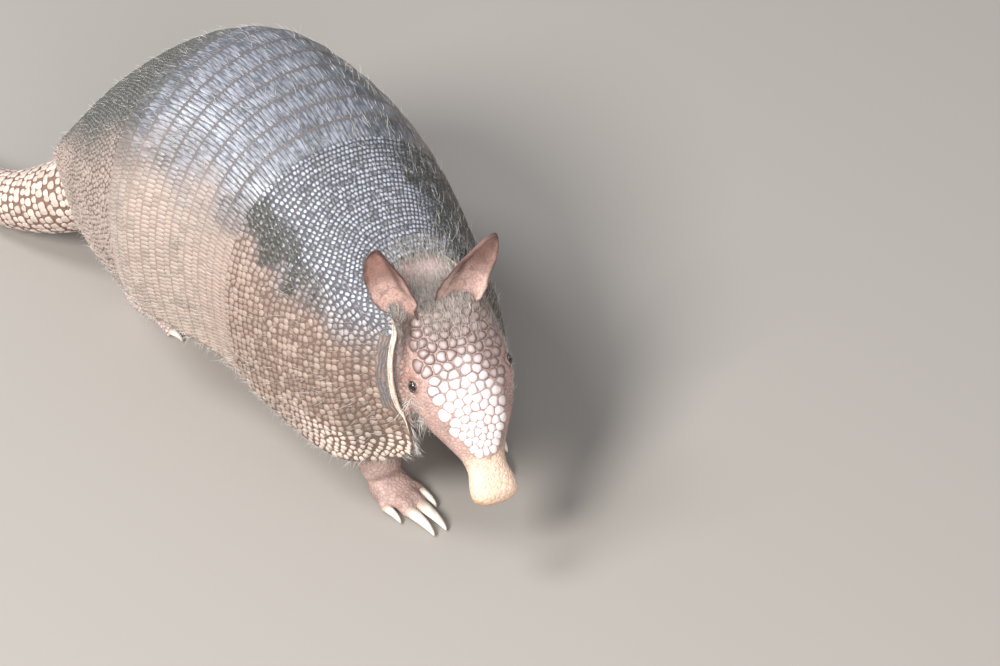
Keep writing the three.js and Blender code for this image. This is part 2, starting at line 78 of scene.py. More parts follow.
HEAD_ORIGIN = np.array([14.5, -114.5, 120])
HEAD_LENGTH = 115
# [back from the nose tip, half-width, height above the axis, depth below it]
HEAD_STATIONS = [
    [0, 8.0, 4.4, 6.0],
    [1.5, 10.6, 6.2, 7.6],
    [6, 12.2, 7.4, 8.6],
    [11, 11.6, 7.6, 8.4],
    [17, 10.1, 7.8, 8.2],
    [24, 11.2, 8.8, 9.4],
    [33, 15.8, 11.2, 12.0],
    [44, 21.6, 14.4, 16.0],
    [55, 25.4, 17.0, 19.6],
    [65, 27.0, 19.0, 22.2],
    [83, 26.2, 20.6, 24.0],
    [99, 23.8, 19.6, 22.5],
    [115, 20.0, 16.0, 18.0],
]
HEAD_SQUARE = 2.35  # how square the head's section is
# [back from the nose tip, half-width of the scaly shield]
SHIELD_STATIONS = [
    [21, 5.5],
    [27, 8.6],
    [37, 12.5],
    [49, 17.0],
    [65, 20.8],
    [83, 21.6],
    [93, 19.5],
    [100, 13.0],
]
EYE_RADIUS = 3.4
EYE_PLACE = (64.0, 24.0, 5.5)  # the solid eye: back from the nose, beside the axis, above it
EYE_SEAT = (65.5, 24.0, 6.9)  # the finished eye, in the same way
EYE_TURN = 1.25  # angle from the crown to where the eye looks out
LID_OPENING = (1.95, 2.35)  # half-width and half-height

EAR_LENGTH = 41
EAR_HALF_WIDTH = 7.8
EAR_CUP = 0.62  # half-angle that the open leaf is rolled by
EAR_WALL = 1.5
# Of each ear: its base in the head's frame; the way it points and the way its hollow faces, both as
# forwards, upwards and outwards; how far its middle is bowed and swung; the share where its root
# starts; how far its inner edge spreads, how much of that at the root, and where it fades.
EARS = {
    "right": {
        "base": (105, -20, 21.5),
        "points": (-0.7, 0.64, 0.31),
        "faces": (0.14, 0.79, 0.46),
        "bow": 4.6,
        "swing": 3.3,
        "root": -0.26,
        "spread": 4.5,
        "spread_at_root": 0,
        "spread_fades": (0.5, 0.95),
    },
    "left": {
        "base": (101, 11.8, 15.5),
        "points": (-0.67, 0.55, 0.59),
        "faces": (0.2, 0.84, 0.29),
        "bow": 4.5,
        "swing": -2.7,
        "root": -0.02,
        "spread": 13,
        "spread_at_root": 1,
        "spread_fades": (0.05, 0.85),
    },
}

# [x, y, z, half-width, half-height]
TAIL_STATIONS = [
    [-36, 96, 64, 20, 20],
    [-60, 134, 50, 22, 21.5],
    [-76, 155, 36, 20.8, 20.2],
    [-88, 174, 26, 17.8, 17.4],
    [-98, 197, 18, 15.4, 15.2],
    [-110, 232, 13.6, 13.8, 13.8],
    [-121, 274, 11.6, 12.0, 12.0],
    [-127, 318, 9.6, 10.0, 10.0],
    [-126, 362, 7.4, 7.8, 7.8],
    [-119, 404, 5.0, 5.4, 5.4],
    [-108, 438, 2.6, 3.0, 3.0],
]
TAIL_SIDE = (0.85, 0.5, 0)  # across the tail, to its left

# Legs: [share of the back, distance from the spine, height, half-width, half-height]
LEGS = {
    "foreleg_right": [
        [0.3, 32, 72, 17, 19],
        [0.22, 30, 49, 15, 15],
        [0.14, 27, 31, 13, 12],
        [0.105, 25.5, 14, 10.5, 9.5],
    ],
    "foreleg_left": [
        [0.27, 32, 74, 17, 19],
        [0.22, 33, 50, 15, 16],
        [0.18, 33, 31, 13, 12.5],
        [0.155, 32, 14, 10.5, 9.5],
    ],
    "hindleg_right": [
        [0.79, 42, 84, 22, 29],
        [0.75, 43, 56, 18, 25],
        [0.79, 32, 32, 12.5, 15],
        [0.83, 27, 15, 9.5, 10.5],
    ],
    "hindleg_left": [
        [0.81, 42, 84, 22, 29],
        [0.78, 43, 56, 18, 25],
        [0.83, 38, 32, 12.5, 15],
        [0.87, 36, 15, 9.5, 10.5],
    ],
}
# Where each foot stands: [share of the back, distance from the spine, turn to the left]
FEET = {
    "forefoot_right": [0.095, 24.5, 0.16],
    "forefoot_left": [0.145, 32, -0.1],
    "hindfoot_right": [0.845, 26, 0.3],
    "hindfoot_left": [0.885, 36, 0.5],
}
# Each digit: [towards the midline, forward, claw length, claw radius], from the inner one outwards
DIGITS = {
    "fore": [[10.3, 12, 12, 2.2], [3.4, 21, 20, 3.1], [-3.5, 21, 19, 3.0], [-10.4, 10, 11, 2.1]],
    "hind": [
        [12.9, 32, 8, 1.8],
        [6.9, 41, 11, 2.4],
        [0.0, 44, 13, 2.8],
        [-6.9, 41, 11, 2.4],
        [-12.9, 32, 8, 1.8],
    ],
}
PADS = {"fore": (9, 11, 13), "hind": (11, 12.5, 14)}  # heel, half-width, height
TOE_WALL = 1.3  # flesh round a claw's root
SIDES = {"right": -1, "left": 1}


# ---------------------------------------------------------------- small tools
def unit(vectors):
    return vectors / np.linalg.norm(vectors, axis=-1, keepdims=True)


def mix(a, b, share):
    return a + (b - a) * share


def rise_between(low, high, value):
    """0 below low, 1 above high, smooth between."""
    share = np.clip((value - low) / (high - low), 0, 1)
    return share * share * (3 - 2 * share)


def bump_at(value, width):
    """1 where the value is 0, falling away within about this width."""
    return np.exp(-((value / width) ** 2))


def signed_power(value, power):
    return np.sign(value) * np.abs(value) ** power


def sample(rows, x, column):
    """Smooth curve through rows of [x, a, b, ...]: cubic pieces with averaged slopes."""
    table = np.array(rows, float)
    xs, ys = table[:, 0], table[:, column]
    places = np.arange(len(xs))
    before, after = np.maximum(places - 1, 0), np.minimum(places + 1, len(xs) - 1)
    slope = (ys[after] - ys[before]) / (xs[after] - xs[before])
    i = np.clip(np.searchsorted(xs, x, side="left") - 1, 0, len(xs) - 2)
    h = xs[i + 1] - xs[i]
    s = np.clip((x - xs[i]) / h, 0, 1)
    s2, s3 = s**2, s**3
    start = (2 * s3 - 3 * s2 + 1) * ys[i] + (s3 - 2 * s2 + s) * h * slope[i]
    return start + (3 * s2 - 2 * s3) * ys[i + 1] + (s3 - s2) * h * slope[i + 1]


def stack(x, y, z):
    return np.stack(np.broadcast_arrays(x, y, z), axis=-1)


class Surface:
    """A surface of two numbers: p runs lengthwise, q round the animal to its left."""

    def __init__(self, point, step_p, step_q):
        self.point = point
        self.step_p = step_p
        self.step_q = step_q

    def slopes(self, p, q):
        along = (self.point(p + self.step_p, q) - self.point(p - self.step_p, q)) / (2 * self.step_p)
        around = (self.point(p, q + self.step_q) - self.point(p, q - self.step_q)) / (2 * self.step_q)
        return along, around

    def axes(self, p, q):
        """Unit directions ahead (growing p), aside (growing q) and outward."""
        along, around = self.slopes(p, q)
        ahead = unit(along)
        outward = unit(np.cross(around, along))
        return ahead, np.cross(ahead, outward), outward

    def lifted(self, p, q, height):
        outward = self.axes(p, q)[2]
        return self.point(p, q) + outward * np.asarray(height)[..., None]

    def shifted(self, p, q, ahead, aside):
        """The p and q that lie these lengths ahead and aside of a place."""
        along, around = self.slopes(p, q)
        first, second, _ = self.axes(p, q)
        step_q = aside / np.sum(around * second, axis=-1)
        step_p = (ahead - step_q * np.sum(around * first, axis=-1)) / np.linalg.norm(along, axis=-1)
        return p + step_p, q + step_q


# ---------------------------------------------------------------- the shell's surface
def spine(t):
    """Place and heading of the spine, seen from above, at a share t of its length."""
    bend_length = (BEND_END - STRAIGHT_END) * SHELL_LENGTH
    curvature = BEND / bend_length

    def place(share):
        length = (np.asarray(share, float) - STRAIGHT_END) * SHELL_LENGTH
        ahead = np.minimum(length, 0)
        arc = np.clip(length, 0, bend_length) * curvature
        rest = np.maximum(length - bend_length, 0)
        sway = FRONT_SWAY * (ahead / SHELL_LENGTH / STRAIGHT_END) ** 2
        x = sway - (1 - np.cos(arc)) / curvature - np.sin(arc) * rest
        return x, ahead + np.sin(arc) / curvature + np.cos(arc) * rest, arc

    x, y, heading = place(t)
    return x, y - place(0.5)[1], heading


def shell_point(t, u):
    """A place on the shell: t runs from its front to its rear, u from -1 to 1 round it."""
    x, y, heading = spine(t)
    top, half_width, low = (sample(SHELL_STATIONS, t, column) for column in (1, 2, 3))
    lateral = half_width * signed_power(np.sin(u * WRAP), 2 / SQUARE)
    rise = signed_power(np.cos(u * WRAP), 2 / SQUARE)
    lowest = signed_power(math.cos(WRAP), 2 / SQUARE)
    height = low + (rise - lowest) / (1 - lowest) * (top - low)
    return stack(x + lateral * np.cos(heading), y + lateral * np.sin(heading), height)


SHELL = Surface(shell_point, 0.006, 0.008)


def neck_rim(u):
    """Share of the back where the shell starts: a notch over the nape, rounded corners below."""
    side = np.abs(u)
    notch = 0.07 * np.exp(-(np.abs((u - 0.085) / 0.27) ** 4))
    forward = 0.012 * rise_between(0.15, 0.35, side) + 0.012 * bump_at(side - 0.86, 0.09)
    return 0.05 * np.cos(u * math.pi / 2) + notch - forward + 0.04 * rise_between(0.9, 1.06, side)


# ---------------------------------------------------------------- the head's surface
HEAD_FORWARD = unit(np.array([-0.128, -0.736, -0.664]))
HEAD_SIDE = unit(np.array([0.988, -0.151, -0.023]))
HEAD_UP = unit(np.cross(HEAD_FORWARD, HEAD_SIDE))
HEAD_UP = HEAD_UP * np.sign(HEAD_UP[2])


def head_place(back, left, up):
    """A place from its distances back from the nose, to the left and above the head's axis."""
    back, left, up = np.broadcast_arrays(back, left, up)
    forward = HEAD_FORWARD * (HEAD_LENGTH - back)[..., None]
    return HEAD_ORIGIN + forward + HEAD_SIDE * left[..., None] + HEAD_UP * up[..., None]


def head_coordinates(points):
    """Back from the nose, to the left and above the head's axis."""
    local = points - HEAD_ORIGIN
    return HEAD_LENGTH - local @ HEAD_FORWARD, local @ HEAD_SIDE, local @ HEAD_UP


def head_point(back, angle):
    """A place on the head, at an angle from the crown towards the left."""
    half_width, above, below = (sample(HEAD_STATIONS, back, column) for column in (1, 2, 3))
    rise = signed_power(np.cos(angle), 2 / HEAD_SQUARE)
    left = half_width * signed_power(np.sin(angle), 2 / HEAD_SQUARE)
    return head_place(back, left, np.where(rise > 0, above, below) * rise)


HEAD = Surface(head_point, 0.4, 0.03)

# The shared frame's origin, found from an eye, whose place on the head is known.
EYE_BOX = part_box("eye_left")
EYE_CENTRE = np.array((EYE_BOX[0] + EYE_BOX[1]) / 2) / MM
SHIFT = EYE_CENTRE - head_place(*EYE_PLACE)


def settle(points):
    """From the animal's own frame into the shared one."""
    return (np.asarray(points) + SHIFT) * MM


def unsettle(points):
    """From the shared frame into the animal's own."""
    return np.asarray(points) / MM - SHIFT


# ---------------------------------------------------------------- the tail's surface
TAIL_ROWS = [[i / (len(TAIL_STATIONS) - 1)] + row for i, row in enumerate(TAIL_STATIONS)]


def tail_centre(share):
    return stack(*(sample(TAIL_ROWS, share, column) for column in (1, 2, 3)))


def tail_point(share, angle):
    """A place on the tail, at an angle from its top towards the left."""
    along = unit(tail_centre(share + 0.01) - tail_centre(share - 0.01))
    side = np.array(TAIL_SIDE) - along * (along @ np.array(TAIL_SIDE))[..., None]
    side = unit(side)
    up = np.cross(side, along)
    wide = (sample(TAIL_ROWS, share, 4) * np.sin(angle))[..., None]
    tall = (sample(TAIL_ROWS, share, 5) * np.cos(angle))[..., None]
    return tail_centre(share) + side * wide + up * tall


TAIL = Surface(tail_point, 0.004, 0.03)


# ---------------------------------------------------------------- meshes
def new_object(name, data):
    made = bpy.data.objects.new(name, data)
    bpy.context.scene.collection.objects.link(made)
    return made


def piece(name, mesh, material, replaced=()):
    """A finished mesh as an object of the animal."""
    mesh.name = name
    made = new_object(name, mesh)
    mesh.materials.clear()
    mesh.materials.append(material)
    mesh.shade_smooth()
    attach(made, "root")
    if replaced:
        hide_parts(*replaced)


def set_marks(mesh, marks):
    """Numbers kept at each vertex, which the materials read by name."""
    for label, values in marks.items():
        layer = mesh.attributes.new(label, "FLOAT", "POINT")
        layer.data.foreach_set("value", np.ascontiguousarray(values, np.float32).ravel())


def set_bake_map(mesh, spots):
    """Lays the vertices out on the bake map at these places, each between 0 and 1."""
    corners = np.empty(len(mesh.loops), np.int32)
    mesh.loops.foreach_get("vertex_index", corners)
    layer = mesh.uv_layers.new(name="OFBake")
    layer.data.foreach_set("uv", np.ascontiguousarray(spots[corners], np.float32).ravel())


def joined_copies(name, points, faces, marks, spots):
    """One mesh from many copies: points (copies, corners, 3), and the faces of one copy."""
    copies, corners = points.shape[:2]
    rows = [[corner + n * corners for corner in face] for n in range(copies) for face in faces]
    mesh = bpy.data.meshes.new(name)
    mesh.from_pydata(settle(points.reshape(-1, 3)).tolist(), [], rows)
    set_marks(mesh, marks)
    set_bake_map(mesh, spots.reshape(-1, 2))
    return mesh


def grid_sheet(place, rows, columns, closed=False):
    """A fine grid laid over place(p, q), with p and q from 0 to 1; closed joins q = 0 to q = 1."""
    bm = bmesh.new()
    bmesh.ops.create_grid(bm, x_segments=rows, y_segments=columns, size=1)
    flat = np.array([corner.co[:2] for corner in bm.verts]) / 2 + 0.5
    for corner, where in zip(bm.verts, settle(place(flat[:, 0], flat[:, 1]))):
        corner.co = where
    if closed:
        bmesh.ops.remove_doubles(bm, verts=bm.verts, dist=1e-6)
    return bm


def mesh_of(bm, name):
    mesh = bpy.data.meshes.new(name)
    bm.to_mesh(mesh)
    bm.free()
    return mesh


def closed_tube(place, rows, columns):
    """A sheet rolled up along q, with both its ends shut."""
    bm = grid_sheet(place, rows, columns, closed=True)
    bmesh.ops.holes_fill(bm, edges=[edge for edge in bm.edges if edge.is_boundary], sides=0)
    bmesh.ops.recalc_face_normals(bm, faces=bm.faces)
    return mesh_of(bm, "tube")


def vertex_points(mesh):
    """The vertices in the animal's own frame."""
    flat = np.empty(len(mesh.vertices) * 3)
    mesh.vertices.foreach_get("co", flat)
    return unsettle(flat.reshape(-1, 3))


def set_points(mesh, points):
    mesh.vertices.foreach_set("co", settle(points).ravel())
    mesh.update()


def normals_of(mesh):
    flat = np.empty(len(mesh.vertices) * 3, np.float32)
    mesh.vertices.foreach_get("normal", flat)
    return flat.reshape(-1, 3).astype(float)


def above_floor(points, gap=0.3):
    """Points kept at least this far above the floor."""
    return stack(points[..., 0], points[..., 1], np.maximum(points[..., 2], gap))


def inset(share):
    """A share of the bake map, kept clear of the map's edges."""
    return 0.02 + 0.96 * share


# ---------------------------------------------------------------- scales as joined copies
class Seeds:
    """Places on the animal where scales grow, with their directions ahead, aside and outward."""

    def __init__(self, points, axes, place):
        self.points = points
        self.ahead, self.aside, self.outward = axes
        self.place = place

    @classmethod
    def on_surface(cls, surface, p, q):
        def place(ahead, aside, above):
            return surface.lifted(*surface.shifted(p[:, None], q[:, None], ahead, aside), above)

        return cls(surface.point(p, q), surface.axes(p, q), place)

    @classmethod
    def on_skin(cls, points, ahead, outward):
        ahead = unit(ahead - outward * np.sum(ahead * outward, axis=1, keepdims=True))
        aside = np.cross(ahead, outward)

        def place(forth, side, above):
            flat = points[:, None] + ahead[:, None] * forth[..., None] + aside[:, None] * side[..., None]
            return flat + outward[:, None] * above[..., None]

        return cls(points, (ahead, aside, outward), place)

    def cells(self, sides, reach, gap, roundness=7, near=9):
        """The radius of each seed's own cell in each of `sides` directions, less half a groove."""
        tree = tree_of(self.points)
        found = np.array([[hit[1] for hit in tree.find_n(point, near + 1)][1:] for point in self.points])
        offsets = self.points[found] - self.points[:, None]
        forth = np.einsum("ijk,ik->ij", offsets, self.ahead)
        side = np.einsum("ijk,ik->ij", offsets, self.aside)
        angles = np.arange(sides) * 2 * math.pi / sides
        towards = forth[..., None] * np.cos(angles) + side[..., None] * np.sin(angles)
        closeness = np.maximum(towards, 0) / ((forth**2 + side**2) / 2)[..., None]
        limits = (closeness**roundness).sum(axis=1) + (1 / np.reshape(reach, (-1, 1))) ** roundness
        return np.maximum(limits ** (-1 / roundness) - gap, 0.25)


def mound_mould(sides, profile):
    """A low mound on a unit circle, from a profile of [share of the radius, share of the height]."""
    bm = bmesh.new()
    bmesh.ops.create_circle(bm, cap_ends=True, segments=sides, radius=profile[0][0])
    for corner in bm.verts:
        corner.co.z = profile[0][1]
    bm.faces.ensure_lookup_table()
    crown = bm.faces[0]
    crown.normal_update()
    if crown.normal.z < 0:
        bmesh.ops.reverse_faces(bm, faces=[crown])
    shrink = math.cos(math.pi / sides)
    for (radius, height), (next_radius, next_height) in zip(profile, profile[1:-1]):
        bmesh.ops.inset_region(
            bm,
            faces=[crown],
            thickness=(radius - next_radius) * shrink,
            depth=next_height - height,
            use_even_offset=True,
            use_boundary=True,
        )
    top = bmesh.ops.poke(bm, faces=[crown])["verts"][0]
    top.co.z = profile[-1][1]
    bm.verts.index_update()
    corners = np.array([corner.co[:] for corner in bm.verts])
    faces = [[corner.index for corner in face.verts] for face in bm.faces]
    bm.free()
    share = np.hypot(corners[:, 0], corners[:, 1])
    spoke = np.round(np.arctan2(corners[:, 1], corners[:, 0]) / (2 * math.pi / sides)).astype(int) % sides
    return spoke, share, corners[:, 2], faces


def mounds(name, seeds, outlines, profile, height, base, marks, spots):
    """Scales over the seeds. outlines holds each scale's radius in each direction."""
    sides = outlines.shape[1]
    spoke, share, rise, faces = mound_mould(sides, profile)
    angle = spoke * 2 * math.pi / sides
    radius = outlines[:, spoke] * share
    ahead, aside = radius * np.cos(angle), radius * np.sin(angle)
    lift = np.reshape(base, (-1, 1)) + np.reshape(height, (-1, 1)) * rise
    points = seeds.place(ahead, aside, lift)
    count = len(points)
    marks = {"tone": dice.random(count), **marks}
    each = {label: np.repeat(values, len(spoke)) for label, values in marks.items()}
    each["rise"] = np.tile(rise, count)
    return joined_copies(name, points, faces, each, spots(ahead, aside))


ROUND_SCALE = [[1.0, -0.9], [0.93, 0.25], [0.7, 0.82], [0.0, 1.0]]
FLAT_SCALE = [[1.0, -0.6], [0.93, 0.45], [0.8, 0.88], [0.5, 1.0], [0.0, 1.06]]
CROWN_SCALE = [[1.0, -0.35], [0.9, 0.25], [0.7, 0.64], [0.38, 0.92], [0.0, 1.0]]
SCALE_SIDES = 9


# ---------------------------------------------------------------- materials
class Paint:
    """A material's nodes, with short calls for the few kinds used here."""

    def __init__(self, name, roughness=0.5, coat=0.0, coat_roughness=0.2):
        self.material = bpy.data.materials.new(name)
        self.material.use_nodes = True
        self.tree = self.material.node_tree
        self.shader = self.tree.nodes["Principled BSDF"]
        self.shader.inputs["Roughness"].default_value = roughness
        self.shader.inputs["Coat Weight"].default_value = coat
        self.shader.inputs["Coat Roughness"].default_value = coat_roughness
        self.place = self.node("ShaderNodeTexCoord").outputs["Object"]

    def node(self, kind, **settings):
        made = self.tree.nodes.new(kind)
        for label, value in settings.items():
            setattr(made, label, value)
        return made

    def feed(self, socket, value):
        if isinstance(value, bpy.types.NodeSocket):
            self.tree.links.new(value, socket)
        else:
            socket.default_value = value

    def mark(self, name):
        return self.node("ShaderNodeAttribute", attribute_name=name).outputs["Fac"]

    def grain(self, scale, detail=3, stretch=None):
        """Soft noise; scale is in features a metre."""
        made = self.node("ShaderNodeTexNoise")
        place = self.place
        if stretch:
            mapping = self.node("ShaderNodeMapping")
            self.feed(mapping.inputs["Vector"], place)
            mapping.inputs["Scale"].default_value = stretch
            place = mapping.outputs["Vector"]
        self.feed(made.inputs["Vector"], place)
        made.inputs["Scale"].default_value = scale
        made.inputs["Detail"].default_value = detail
        return made.outputs["Fac"]

    def pebbles(self, scale, feature="F1"):
        made = self.node("ShaderNodeTexVoronoi", feature=feature)
        self.feed(made.inputs["Vector"], self.place)
        made.inputs["Scale"].default_value = scale
        return made.outputs["Distance"]

    def ramp(self, value, low, high, start=0.0, end=1.0):
        made = self.node("ShaderNodeMapRange", interpolation_type="SMOOTHSTEP")
        inputs = {"Value": value, "From Min": low, "From Max": high, "To Min": start, "To Max": end}
        for label, number in inputs.items():
            self.feed(made.inputs[label], number)
        return made.outputs["Result"]

    def work_out(self, operation, *values):
        made = self.node("ShaderNodeMath", operation=operation)
        for socket, value in zip(made.inputs, values):
            self.feed(socket, value)
        return made.outputs[0]

    def plus(self, a, b):
        return self.work_out("ADD", a, b)

    def minus(self, a, b):
        return self.work_out("SUBTRACT", a, b)

    def times(self, a, b):
        return self.work_out("MULTIPLY", a, b)

    def larger(self, a, b):
        return self.work_out("MAXIMUM", a, b)

    def blend(self, share, a, b, kind="MIX"):
        made = self.node("ShaderNodeMix", data_type="RGBA", blend_type=kind)
        self.feed(made.inputs[0], share)
        for socket, value in zip((made.inputs[6], made.inputs[7]), (a, b)):
            self.feed(socket, value if isinstance(value, bpy.types.NodeSocket) else (*value, 1))
        return made.outputs[2]

    def finish(self, colour, roughness=None, relief=None, depth=0.0003, strength=0.6):
        self.feed(self.shader.inputs["Base Color"], colour)
        if roughness is not None:
            self.feed(self.shader.inputs["Roughness"], roughness)
        if relief is not None:
            made = self.node("ShaderNodeBump")
            made.inputs["Distance"].default_value = depth
            made.inputs["Strength"].default_value = strength
            self.feed(made.inputs["Height"], relief)
            self.feed(self.shader.inputs["Normal"], made.outputs["Normal"])
        return self.material


# The shell, on its back and then on its flanks.
SLATE = (0.135, 0.138, 0.16)
SLATE_DARK = (0.085, 0.088, 0.10)
SLATE_GROOVE = (0.085, 0.087, 0.10)
# Painted highlight colours: SLATE_SHINE on the slate back, RUMP_SHINE on the rump.
SLATE_SHINE = (0.60, 0.63, 0.72)
RUMP = (0.06, 0.061, 0.05)
RUMP_SHINE = (0.20, 0.195, 0.165)
RUMP_FLANK = (0.44, 0.36, 0.32)
# Dark soil, and also painted shade over the animal's left side.
SOIL_AND_SHADE = (0.05, 0.052, 0.045)
HORN_GRAIN = (0.75, 0.68, 0.62)
SHIELD_FLANK = (0.275, 0.18, 0.14)
BAND_FLANK = (0.46, 0.37, 0.32)
FLANK_CREAM = (0.465, 0.36, 0.295)
MEETING_BROWN = (0.37, 0.27, 0.22)
FLANK_GROOVE = (0.17, 0.11, 0.085)
BAND_EDGE = (0.29, 0.22, 0.165)
BAND_EDGE_FLANK = (0.46, 0.36, 0.31)
BAND_GROUND = (0.13, 0.133, 0.15)
BAND_GROUND_FLANK = (0.40, 0.30, 0.25)
PALE_SCALE = (0.72, 0.575, 0.485)
PALE_GROOVE = (0.12, 0.062, 0.045)
GROUND_DUST = (0.2, 0.15, 0.12)
# The wrinkled strip behind the neck rim, and the smooth fold along the rim.
FOLD_PINK = (0.38, 0.28, 0.23)
FOLD_GREY = (0.25, 0.23, 0.235)
FOLD_BROWN = (0.17, 0.13, 0.115)
# Painted shade in the creases of the wrinkled strip.
FOLD_CREASE_SHADE = (0.13, 0.105, 0.10)
RIM_PALE = (0.84, 0.72, 0.62)
RIM_STREAK = (0.46, 0.29, 0.23)
# The head's scales and the small scales elsewhere.
HEAD_SCALE = (0.93, 0.86, 0.86)
HEAD_SCALE_PINK = (0.72, 0.58, 0.56)
# Colour of the stain towards the back of the head, also used for painted shade on the plates.
HEAD_STAIN_AND_SHADE = (0.60, 0.475, 0.455)
HEAD_SPECK = (0.66, 0.51, 0.49)
HEAD_GROOVE = (0.50, 0.345, 0.315)
HEAD_GROOVE_DARK = (0.17, 0.11, 0.095)
TAIL_SCALE = (0.76, 0.63, 0.55)
TAIL_GROOVE = (0.20, 0.115, 0.08)
LEG_SCALE = (0.88, 0.74, 0.71)
LEG_GROOVE = (0.27, 0.185, 0.17)
CHEEK_SCALE = (0.54, 0.335, 0.29)
CHEEK_GROOVE = (0.18, 0.10, 0.08)
NAPE_SCALE = (0.62, 0.54, 0.53)
NAPE_GROOVE = (0.16, 0.13, 0.125)
# The skin.
SKIN_PINK = (0.58, 0.395, 0.35)
SKIN_GREY = (0.36, 0.255, 0.225)
BELLY = (0.56, 0.42, 0.33)
NOSE_PEACH = (0.84, 0.62, 0.47)
NOSE_MOTTLE = (0.60, 0.38, 0.29)
NOSE_WARM = (0.70, 0.38, 0.20)
CHEEK_RUFOUS = (0.42, 0.215, 0.15)
NAPE_PATCH = (0.66, 0.51, 0.50)
NECK_DARK = (0.29, 0.21, 0.19)
NECK_PALE = (0.46, 0.365, 0.335)
# Painted shadow: the mouth slit, the nostril pits, the eyelid creases and the throat under the jaw.
PAINTED_SHADOW_BLACK = (0.045, 0.026, 0.022)
CREASE_SHADE = (0.42, 0.34, 0.3)
WHITE = (1, 1, 1)
EAR_BROWN = (0.34, 0.18, 0.145)
EAR_BLOTCH = (0.25, 0.145, 0.125)
EAR_PALE = (0.78, 0.52, 0.45)
EAR_STAIN = (0.20, 0.10, 0.085)
EAR_GRAIN = (0.17, 0.09, 0.07)
# Painted shade along the ear's rim and in its inner fold.
EAR_RIM_SHADE = (0.085, 0.042, 0.035)
# Claws, eyes and hair.
CLAW_IVORY = (0.90, 0.84, 0.75)
CLAW_BASE = (0.60, 0.46, 0.37)
CLAW_STREAK = (0.50, 0.38, 0.28)
EYE_BLACK = (0.008, 0.006, 0.005)
EYE_BROWN = (0.03, 0.018, 0.012)
HAIR_PALE = (0.84, 0.80, 0.74)
HAIR_DARK = (0.15, 0.115, 0.09)
HAIR_GLINT = (0.9, 0.86, 0.8)
FLOOR_GREY = (0.36, 0.33, 0.30)


def flank_share(paint):
    """0 on the slate back, 1 on the brown flanks, with a ragged border."""
    patches = paint.times(paint.grain(38, 4), 0.34)
    return paint.ramp(paint.plus(paint.mark("flank"), patches), 0.44, 0.78)


def soiled_and_shaded(paint, colour):
    """Dark soil and painted shade, thick where the mark says so, and dark soil in a few thin patches
    elsewhere.
    """
    ragged = paint.plus(paint.mark("soil_and_shade"), paint.times(paint.grain(85, 7), 2.4))
    thin = paint.ramp(paint.grain(26, 6), 0.56, 0.68, 0, 0.35)
    spread = paint.larger(paint.ramp(ragged, 1.42, 2.2), thin)
    flecks = paint.ramp(paint.grain(520, 5), 0.30, 0.50)
    return paint.blend(paint.times(spread, flecks), colour, SOIL_AND_SHADE)


def armour_paint(name, flank_scale, cream_share, groove_share, streaks, shine):
    """Horn over bone: slate on the back, brown scales among cream ones down the flanks."""
    paint = Paint(name, coat=0.4, coat_roughness=0.28)
    tone, rise, rump = paint.mark("tone"), paint.mark("rise"), paint.mark("rump")
    side = flank_share(paint)
    brown = paint.blend(paint.ramp(tone, 0.0, 0.7), tuple(0.72 * c for c in flank_scale), flank_scale)
    brown = paint.blend(paint.ramp(tone, 0.72, 0.76, 0, cream_share), brown, FLANK_CREAM)
    brown = paint.blend(paint.times(rump, 0.7), brown, RUMP_FLANK)
    brown = paint.blend(paint.times(paint.mark("meeting"), 0.75), brown, MEETING_BROWN)
    back = paint.blend(rump, paint.blend(paint.ramp(tone, 0.2, 1, 0.0, 0.6), SLATE, SLATE_DARK), RUMP)
    gleam = paint.blend(rump, SLATE_SHINE, RUMP_SHINE)
    scale = paint.blend(side, back, brown)
    # Painted highlight: the shine colour, cream on the flanks, laid over the scale tops in patches.
    highlight_patches = paint.ramp(paint.grain(300, 4), 0.36, 0.58, 0, shine)
    painted_highlight = paint.times(paint.ramp(rise, 0.5, 0.95), highlight_patches)
    painted_highlight = paint.times(painted_highlight, paint.ramp(side, 0, 1, 1.0, 0.45))
    scale = paint.blend(painted_highlight, scale, paint.blend(side, gleam, FLANK_CREAM))
    if streaks:
        # Painted highlight streaks along the bands, in the shine colour, fainter down the flanks.
        highlight_streaks = paint.ramp(paint.grain(620, 4, stretch=(1.0, 0.10, 1.0)), 0.44, 0.68, 0, streaks)
        highlight_streaks = paint.times(highlight_streaks, paint.ramp(side, 0, 1, 1.0, 0.3))
        scale = paint.blend(highlight_streaks, scale, paint.blend(side, gleam, FLANK_CREAM))
    scale = paint.blend(paint.mark("pale"), scale, PALE_SCALE)
    scale = soiled_and_shaded(paint, scale)
    fine = paint.grain(900, 3)
    scale = paint.blend(paint.ramp(fine, 0.45, 0.75, 0, 0.35), scale, HORN_GRAIN, "MULTIPLY")
    groove = paint.blend(side, SLATE_GROOVE, FLANK_GROOVE)
    groove = paint.blend(paint.mark("pale"), groove, PALE_GROOVE)
    depth = paint.ramp(rise, -0.1, 0.75, 1.0 - groove_share, 1.0)
    colour = paint.blend(depth, groove, scale)
    if streaks:
        edge = paint.blend(side, BAND_EDGE, BAND_EDGE_FLANK)
        colour = paint.blend(paint.times(paint.mark("edge"), 0.8), colour, edge)
    roughness = paint.plus(paint.ramp(side, 0, 1, 0.32, 0.52), paint.ramp(fine, 0.3, 0.7, -0.05, 0.08))
    return paint.finish(colour, roughness, fine, 0.00012, 0.5)


